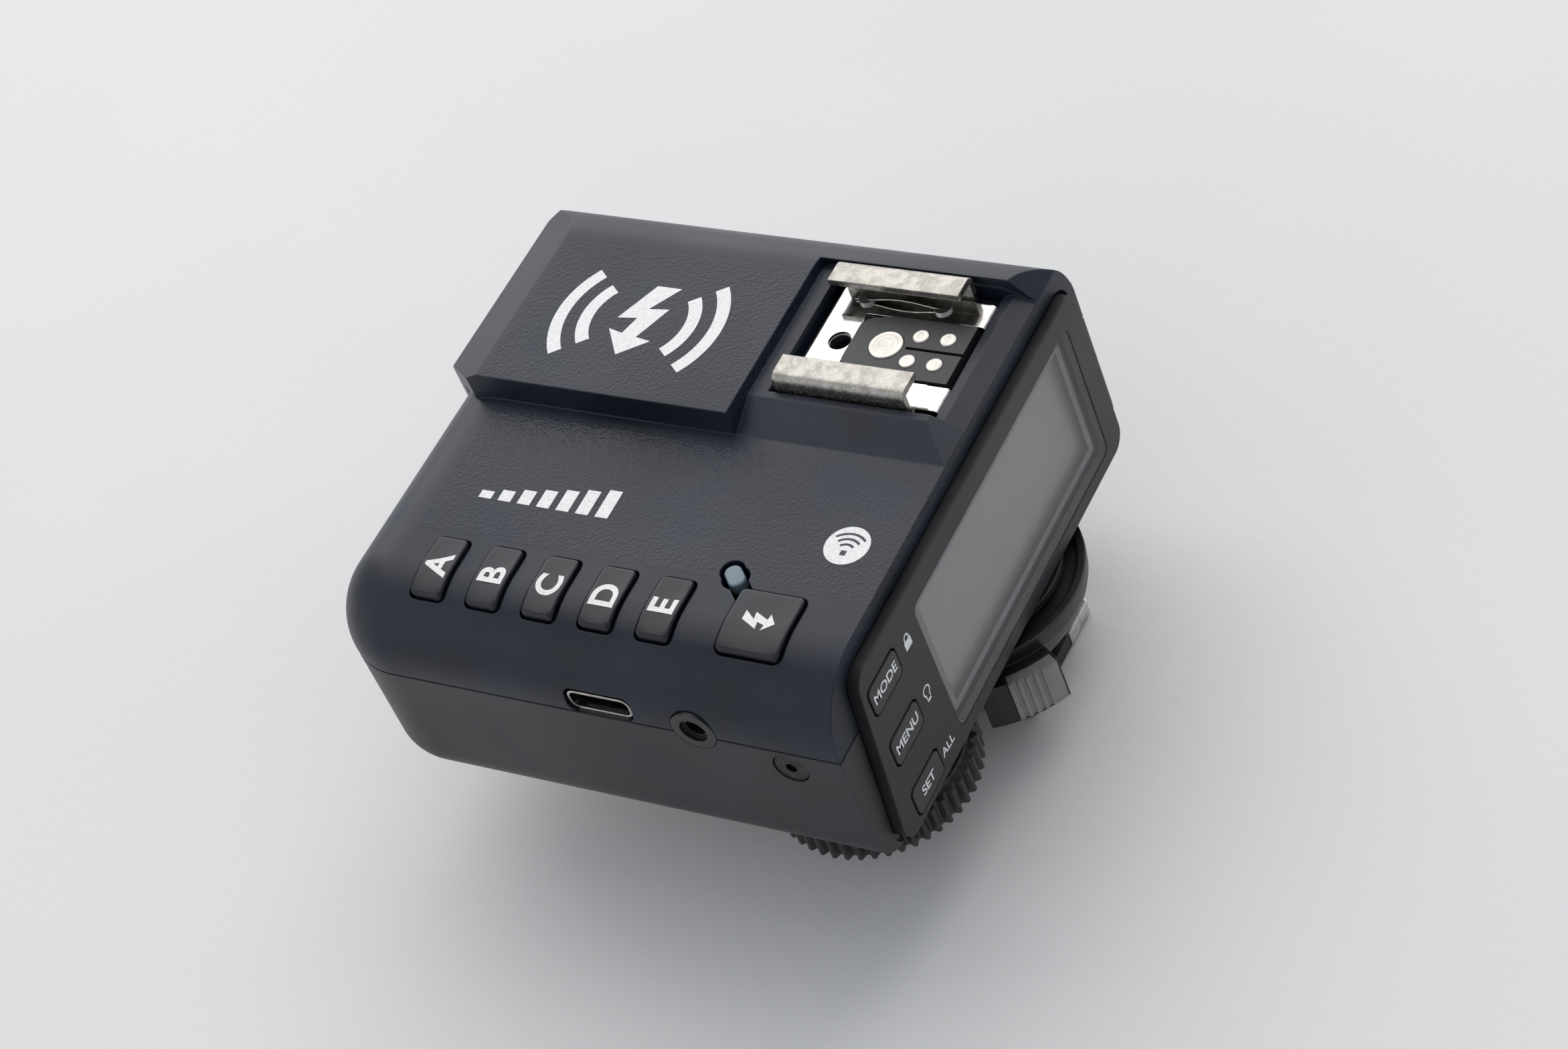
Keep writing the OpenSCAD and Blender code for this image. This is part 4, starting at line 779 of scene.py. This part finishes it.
@dataclass
class Keypad:
    """The group keys, the test key and the status lamp on the rolled edge of the deck.

    Lengths are in millimetres. `lip` is how far a key's retaining lip stands out beyond its cap on
    each side, and `letter_x` is how far a letter's middle lies from its key's left end.
    """

    bench: Bench
    printer: Printer
    letters: str = "ABCDE"
    lip: float = 0.6
    letter_x: float = 4.15
    letter_size: float = 3.5
    bolt_size: float = 4.4
    corner: float = 0.7
    edge: float = 0.32
    dish: float = 0.16
    roll: float = 10.0
    roll_x: float = -26.0
    roll_z: float = 0.6

    def finish(self) -> Moulded:
        """The keys' plastic, a shade glossier than the case."""
        return Moulded("key_navy", (0.0050, 0.0068, 0.0125), 0.28, depth=0.006, edge=0.0, specular=0.4)

    def crown(self, x: float) -> float:
        """Height of the case's rolled top at x, in millimetres."""
        reach = max(0.0, self.roll_x - x)
        return self.roll_z + math.sqrt(max(0.0, self.roll ** 2 - reach ** 2))

    def key(self, node: str) -> Callable[[float, float], float]:
        """Builds one key: a crowned cap that follows the roll, dished along its middle.

        Args:
            node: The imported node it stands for.

        Returns:
            The height of the key's top at an (x, y) place.
        """
        low, high = self.bench.corners(node)
        low, high = low + Vector((0, self.lip, 0)), high - Vector((0, self.lip, 0))
        rise = high.z - self.crown(high.x)
        middle = (low + high) / 2
        half = (high - low) / 2

        def top(x: float, y: float) -> float:
            """Height of the key's top at a place."""
            across = min(1.0, abs(y - middle.y) / half.y)
            along = min(1.0, abs(x - middle.x) / half.x)
            hollow = self.dish * (1 - along ** 2) * (1 - across ** 2)
            return min(high.z, self.crown(x + rise * 0.4) + rise) - hollow

        shape = rounded_slab(low, high, self.corner, self.edge)
        slice_along(shape, Axis.X, 0.4)
        slice_along(shape, Axis.Y, 0.45)
        for vert in shape.verts:
            share = max(0.0, min(1.0, (vert.co.z - low.z - 1.2) / 0.6))
            vert.co.z += (top(vert.co.x, vert.co.y) - high.z) * share
        self.bench.place(shape, node + "_cap", node, self.finish(), "key_rubber", [node], angle=50.0)
        return top

    def build(self) -> None:
        """Builds the keys with their legends and the lamp."""
        right, up = Vector((1, 0, 0)), Vector((0, 1, 0))
        for letter in self.letters:
            node = "group_key_" + letter.lower()
            top = self.key(node)
            low, high = self.bench.corners(node)
            place = Vector((low.x + self.letter_x, (low.y + high.y) / 2, high.z))
            size = (self.letter_size, self.letter_size)
            self.printer.stamp(glyphs(letter, 0.028), f"legend_{letter.lower()}", node, place, right, up,
                               size, top)
        top = self.key("test_key")
        low, high = self.bench.corners("test_key")
        place = Vector(((low.x + high.x) / 2, (low.y + high.y) / 2, high.z))
        size = (self.bolt_size, self.bolt_size)
        self.printer.stamp(bolt(), "legend_test", "test_key", place, right, up, size, top)
        self.lamp()

    def lamp(self) -> None:
        """Builds the status lamp's lens, a rounded capsule along its slanted well."""
        high = self.bench.corners("status_lamp_lens")[1]
        radius, longer, corner, edge, inward = 1.12, 1.2, 1.05, 0.3, 3.7
        middle = Vector((high.x - inward, high.y - inward, 0.0))
        low_corner = Vector((-radius, -radius, high.z - 1.4))
        high_corner = Vector((radius + longer, radius, high.z + 0.12))
        shape = rounded_slab(low_corner, high_corner, corner, edge, 8, 4)
        slant = Matrix.Translation(middle) @ Matrix.Rotation(math.radians(45), 4, "Z")
        bmesh.ops.transform(shape, matrix=slant, verts=shape.verts)
        finish = Moulded("lamp_lens", (0.115, 0.160, 0.205), 0.34, depth=0.002, edge=0.0)
        self.bench.place(shape, "lamp_capsule", "body", finish, "lamp_clear", ["status_lamp_lens"])


@dataclass
class Display:
    """The rear bezel with its lens, panel, border, three keys and printed marks."""

    bench: Bench
    printer: Printer
    border: float = 2.1
    words: tuple[str, str, str] = ("MODE", "MENU", "SET")

    def frame_band(self) -> None:
        """Builds the grey band that frames the panel, just behind the lens."""
        low, high = self.bench.corners("display_lens")
        margin, behind, thickness = 0.1, 0.04, 0.05
        left, right, foot, top = low.x + margin, high.x - margin, low.z + margin, high.z - margin
        shape = bmesh.new()
        corners = ((left, foot), (right, foot), (right, top), (left, top))
        face = shape.faces.new([shape.verts.new((x, high.y + behind, z)) for x, z in corners])
        shape.normal_update()
        bmesh.ops.inset_individual(shape, faces=[face], thickness=self.border, depth=0.0,
                                   use_even_offset=True)
        bmesh.ops.delete(shape, geom=[face], context="FACES_ONLY")
        shape.normal_update()
        bmesh.ops.solidify(shape, geom=list(shape.faces), thickness=thickness)
        finish = Moulded("border_grey", (0.075, 0.080, 0.085), 0.5, edge=0.0)
        self.bench.place(shape, "display_border", "body", finish, "bezel_plastic")

    def build(self) -> None:
        """Dresses the display and prints its marks."""
        dress = self.bench.dress
        dress(Moulded("bezel_dark", (0.0165, 0.0175, 0.0205), 0.46, depth=0.007, edge=0.3, specular=0.4),
              "display_bezel")
        dress(Moulded("face_key", (0.0190, 0.0195, 0.0215), 0.42, depth=0.006, edge=0.3), "mode_key",
              "menu_key", "set_key")
        dress(Clear("display_window", (0.80, 0.81, 0.82), 0.10, 0.10), "display_lens")
        dress(Moulded("panel_grey", (0.215, 0.212, 0.212), 0.6, depth=0.002, edge=0.0, mottle=0.08),
              "lcd_panel")
        self.frame_band()
        right, up = Vector((1, 0, 0)), Vector((0, 0, 1))
        for word, node in zip(self.words, ("mode_key", "menu_key", "set_key")):
            low, high = self.bench.corners(node)
            place = Vector(((low.x + high.x) / 2, low.y, (low.z + high.z) / 2))
            self.printer.stamp(glyphs(word, 0.02), f"legend_{word.lower()}", node, place, right, up,
                               (1.55, 1.5))
        face_y = self.bench.corners("display_bezel")[0].y
        marks = {"lock": (padlock(), -18.9, 2.2, 2.3), "lamp": (lamp_mark(), -19.2, -7.1, 2.5),
                 "all": (glyphs("ALL", 0.015), -19.4, -16.7, 1.35)}
        for name, (shape, x, z, size) in marks.items():
            self.printer.stamp(shape, f"mark_{name}", "body", Vector((x, face_y, z)), right, up, (size, size))


@dataclass
class TopShoe:
    """The accessory shoe on the raised block: rails, bright plate, contact block and contacts."""

    bench: Bench
    silver: tuple[float, float, float] = (0.44, 0.42, 0.39)

    def contacts(self) -> None:
        """Turns each contact as a low dome with a chamfered rim and fine rings."""
        low, high = self.bench.corners("shoe_contacts")
        middle_r, signal_r, rim = 2.28, 1.1, 0.12
        x, y = (low.x + high.x) / 2, high.y - 2.3
        spots = [(x, y, middle_r, "middle")]
        for row, back in enumerate((3.9, 7.65)):
            for side, aside in (("l", -2.1), ("r", 2.1)):
                spots.append((x + aside, y - back, signal_r, f"signal_{row}{side}"))
        for cx, cy, radius, name in spots:
            profile = [(0.0, 0.10), (radius * 0.5, 0.09), (radius - rim, 0.06), (radius, -0.06),
                       (radius, -1.2), (0.0, -1.2)]
            centre = Vector((cx, cy, high.z))
            finish = Turned(f"turned_{name}", (0.50, 0.48, 0.455), self.bench.datum.at(cx, cy, high.z))
            self.bench.place(lathe(profile, centre), f"contact_{name}", "body", finish, "contact_metal",
                             ["shoe_contacts"] if name == "middle" else ())

    def leaf(self) -> None:
        """Builds the thin sprung leaf that presses a foot up against the far rail."""
        low, high = self.bench.corners("shoe_rails")
        heights = [0.0, 0.10, 0.35, 0.62, 0.72, 0.60, 0.30, 0.05, 0.0]
        base, inner = self.bench.corners("shoe_contacts")[1].z - 0.25, high.x - 2.1
        start, step = low.y + 2.4, (high.y - low.y - 5.0) / (len(heights) - 1)
        width, thickness = 1.3, 0.15
        shape = bmesh.new()
        path = [shape.verts.new((inner, start + i * step, base + h)) for i, h in enumerate(heights)]
        edges = [shape.edges.new(pair) for pair in zip(path, path[1:])]
        made = bmesh.ops.extrude_edge_only(shape, edges=edges)["geom"]
        far_side = [v for v in made if isinstance(v, bmesh.types.BMVert)]
        bmesh.ops.translate(shape, vec=(-width, 0, 0), verts=far_side)
        bmesh.ops.solidify(shape, geom=list(shape.faces), thickness=thickness)
        finish = Nickel("leaf_bright", (0.62, 0.60, 0.56), 0.16, Grain.SATIN, 0.004, 0.0)
        self.bench.place(shape, "shoe_leaf", "body", finish, "spring_bright", angle=20.0)

    def build(self) -> None:
        """Dresses the shoe, turns its contacts and bends its leaf."""
        dress = self.bench.dress
        dress(Nickel("rail_nickel", self.silver, 0.36, Grain.STIPPLE, 0.03, 0.25), "shoe_rails")
        dress(Nickel("spring_bright", (0.80, 0.79, 0.77), 0.10, Grain.SATIN, 0.003, 0.1), "shoe_spring_plate")
        dress(Moulded("contact_black", (0.016, 0.017, 0.020), 0.45, depth=0.01, edge=0.1),
              "shoe_contact_block")
        dress(Nickel("shoe_screw", (0.5, 0.5, 0.5), 0.3, Grain.SATIN, 0.006), "shoe_screws")
        self.contacts()
        self.leaf()


@dataclass
class Underside:
    """The select dial and the locking foot."""

    bench: Bench

    def build(self) -> None:
        """Dresses the dial, the lock ring with its lever, the hub and the metal foot."""
        dress = self.bench.dress
        dress(Moulded("dial_black", (0.0135, 0.014, 0.016), 0.5, depth=0.012, edge=0.14), "select_dial")
        dress(Moulded("foot_black", (0.0105, 0.011, 0.013), 0.38, depth=0.008, edge=0.3), "foot_hub",
              "lock_ring", "foot_contact_block")
        dress(Moulded("lever_grey", (0.20, 0.195, 0.185), 0.5, depth=0.01, edge=0.2), "lever_cap")
        dress(Nickel("foot_steel", (0.70, 0.69, 0.67), 0.24, Grain.SATIN, 0.008, 0.3), "foot_plate")
        dress(Nickel("plain_steel", (0.55, 0.55, 0.56), 0.3, Grain.SATIN, 0.006, 0.1), "foot_screws",
              "lock_pin", "dial_shaft")
        dress(Nickel("pin_gold", (0.83, 0.66, 0.32), 0.2, Grain.SATIN, 0.004, 0.08), "foot_centre_pin",
              "foot_signal_pins")


@dataclass
class Inside:
    """Boards, cells and everything else that shows only when the trigger is opened."""

    bench: Bench

    def build(self) -> None:
        """Dresses the hidden parts."""
        dress = self.bench.dress
        dress(Board("board_green"), "main_board", "keypad_board", "display_board")
        dress(Nickel("can_tin", (0.66, 0.67, 0.68), 0.3, Grain.SATIN, 0.01), "radio_module",
              "display_switches", "keypad_switches", "dial_encoder", "switch_bodies", "battery_contacts")
        dress(Nickel("board_screw", (0.6, 0.6, 0.6), 0.28, Grain.SATIN, 0.006), "keypad_screws",
              "display_screws", "main_board_screws", "hub_screws")
        dress(Nickel("aerial_gold", (0.80, 0.62, 0.30), 0.25, Grain.SATIN, 0.006), "antenna")
        dress(Moulded("flex_amber", (0.40, 0.17, 0.03), 0.35, edge=0.0), "shoe_flex", "foot_flex")
        dress(Moulded("diffuser", (0.80, 0.80, 0.76), 0.55), "lcd_backlight", "status_led")
        dress(Moulded("lamp_red", (0.45, 0.02, 0.02), 0.25), "assist_led")
        dress(Clear("window_red", (0.10, 0.004, 0.006), 0.12, 0.92), "assist_window")
        dress(Moulded("knob_black", (0.012, 0.012, 0.014), 0.4, depth=0.01, edge=0.2), "power_switch",
              "assist_switch")
        for node, side in (("battery_cell_front", -1), ("battery_cell_rear", 1)):
            low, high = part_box(node)
            end = high.x if side > 0 else low.x
            dress(CellSleeve(node + "_sleeve", end - side * 8.0 * MM), node)


@dataclass
class Marks:
    """Plain printed and moulded marks on the case."""

    printer: Printer
    plate_z: float = 14.0
    deck_z: float = 10.6

    def cover_arrow(self) -> None:
        """Builds the battery cover's grip ribs, which shorten into an arrow the way that it slides."""
        bench = self.printer.bench
        low, high = bench.corners("battery_cover")
        middle = (low + high) / 2
        count, longest, shorter, pitch, width = 5, 6.0, 0.9, 1.5, 0.7
        parts = []
        for i in range(count):
            half = longest - i * shorter
            y = middle.y - 4.0 + i * pitch
            start, end = Vector((middle.x - half, y, -0.2)), Vector((middle.x + half, y + width, 0.3))
            parts.append(rounded_slab(start, end, 0.3, 0.15, 3, 2))
        for part in parts:
            bmesh.ops.scale(part, vec=(1.0, 1.0, -1.0), verts=part.verts)
            bmesh.ops.translate(part, vec=(0.0, 0.0, low.z), verts=part.verts)
        finish = Moulded("cover_ribs", (0.0150, 0.0165, 0.0205), 0.40, depth=0.006, edge=0.0)
        bench.place(merged(*parts), "cover_grip", "battery_cover", finish, "base_plastic")

    def socket_pins(self) -> None:
        """Builds the row of gold contact strips on the USB tongue."""
        bench = self.printer.bench
        low, high = bench.corners("usb_tongue")
        strips = []
        count, pitch, half = 12, 0.5, 0.13
        for i in range(count):
            y = (low.y + high.y) / 2 - (count - 1) * pitch / 2 + i * pitch
            start = Vector((low.x + 0.25, y - half, high.z - 0.05))
            end = Vector((low.x + 3.4, y + half, high.z + 0.03))
            strips.append(rounded_slab(start, end, 0.05, 0.02, 2, 1))
        finish = Nickel("tongue_gold", (0.83, 0.66, 0.32), 0.2, Grain.SATIN, 0.003, 0.0)
        bench.place(merged(*strips), "usb_contact_strips", "body", finish, "pin_gold")

    def build(self) -> None:
        """Prints the sending mark on the plate, the level mark and the radio disc on the deck."""
        self.cover_arrow()
        self.socket_pins()
        right, up = Vector((0, -1, 0)), Vector((1, 0, 0))
        plate_at, level_at = Vector((13.6, 48.6, self.plate_z)), Vector((-12.9, 49.3, self.deck_z))
        self.printer.stamp(signal_mark(), "mark_sending", "body", plate_at, right, up, (12.0, 12.0))
        self.printer.stamp(level_mark(), "mark_level", "body", level_at, right, up, (4.6, 4.4))
        disc = ring_band(0.0, 0.5, 0.0, 360.0, 40)
        disc_at, disc_size = Vector((-13.1, 6.7, self.deck_z)), (5.8, 5.8)
        self.printer.stamp(disc, "mark_disc", "body", disc_at, right, up, disc_size)
        waves = [outline([(-0.04, -0.04), (0.04, -0.04), (0.04, 0.04), (-0.04, 0.04)])]
        waves += [moved(ring_band(r, r + 0.055, 48.0, 132.0, 14), 0.0, -0.2) for r in (0.2, 0.34, 0.48)]
        dark = Printer(self.printer.bench, 0.035, Ink("dark_ink", (0.02, 0.024, 0.036), 0.2))
        shape = merged(*waves[1:], moved(waves[0], 0.0, -0.2, 1.6))
        dark.stamp(shape, "mark_waves", "body", disc_at, right, up, disc_size)


@dataclass
class Studio:
    """Floor, soft lights and the camera."""

    datum: Datum
    lens: float = 85.93
    eye: tuple[float, float, float] = (-241.57, -202.35, 315.47)

    def camera(self) -> None:
        """Sets the camera from its solved place and directions."""
        data = bpy.data.cameras.new("photo_camera")
        data.lens = self.lens
        data.sensor_width = 36.0
        data.clip_start, data.clip_end = 0.01, 20.0
        camera = bpy.data.objects.new("photo_camera", data)
        right = Vector((0.4263, -0.8563, -0.2917))
        up = Vector((0.7382, 0.1430, 0.6593))
        back = Vector((-0.5228, -0.4964, 0.6930))
        turn = Matrix((right, up, back)).transposed().to_4x4()
        camera.matrix_world = Matrix.Translation(self.datum.at(*self.eye)) @ turn
        bpy.context.scene.collection.objects.link(camera)
        bpy.context.scene.camera = camera

    def light(self, name: str, place: tuple[float, float, float], size: float, power: float,
              color: tuple[float, float, float]) -> None:
        """Adds a square area light aimed at the case."""
        data = bpy.data.lights.new(name, "AREA")
        data.size, data.energy, data.color = size, power, color
        lamp = bpy.data.objects.new(name, data)
        lamp.location = place
        lamp.rotation_mode = "QUATERNION"
        lamp.rotation_quaternion = (Vector(place) - Vector((0, 0.03, 0.03))).to_track_quat("Z", "Y")
        bpy.context.scene.collection.objects.link(lamp)

    def floor(self, level: float) -> None:
        """Lays a wide pale floor at the object's lowest point."""
        shape = bmesh.new()
        bmesh.ops.create_grid(shape, x_segments=2, y_segments=2, size=4.0)
        bmesh.ops.translate(shape, vec=(0, 0, level), verts=shape.verts)
        mesh = bpy.data.meshes.new("floor")
        shape.to_mesh(mesh)
        shape.free()
        graph = Graph("floor_paper", (0.70, 0.71, 0.72), 0.8)
        tone = graph.ramp(graph.noise(6.0, 3.0), 0.3, 0.7, 0.0, 1.0)
        graph.join(graph.mix(tone, (0.68, 0.69, 0.70), (0.72, 0.725, 0.735)),
                   graph.shader.inputs["Base Color"])
        graph.relief(graph.noise(900.0, 4.0), 0.05 * MM, 0.0)
        mesh.materials.append(graph.material)
        floor = bpy.data.objects.new("floor", mesh)
        bpy.context.scene.collection.objects.link(floor)
        floor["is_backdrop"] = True

    def world(self) -> None:
        """Sets a pale, even surround."""
        world = bpy.data.worlds.new("surround")
        world.use_nodes = True
        world.node_tree.nodes["Background"].inputs["Color"].default_value = (0.88, 0.90, 0.93, 1.0)
        world.node_tree.nodes["Background"].inputs["Strength"].default_value = 0.56
        bpy.context.scene.world = world

    def build(self, level: float) -> None:
        """Builds the stage round the object.

        Args:
            level: Height of the object's lowest point.
        """
        self.camera()
        self.floor(level)
        self.light("window", (0.95, 0.55, 1.05), 2.4, 30.0, (1.0, 0.985, 0.96))
        self.light("fill", (-0.75, 0.85, 0.55), 1.1, 2.0, (0.92, 0.96, 1.0))
        self.world()
        bpy.context.scene.view_settings.view_transform = "Standard"


def main() -> None:
    """Builds every sub-assembly round the frame, then the stage."""
    logging.basicConfig(level=logging.INFO, format="%(name)s: %(message)s")
    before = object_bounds()
    datum = case_datum()
    bench = Bench(datum)
    printer = Printer(bench)
    for part in (Case(bench), Keypad(bench, printer), Display(bench, printer), TopShoe(bench),
                 Underside(bench), Inside(bench), Marks(printer)):
        LOG.info("building %s", type(part).__name__)
        part.build()
    Studio(datum).build(before[0].z)


if __name__ == "__main__":
    main()
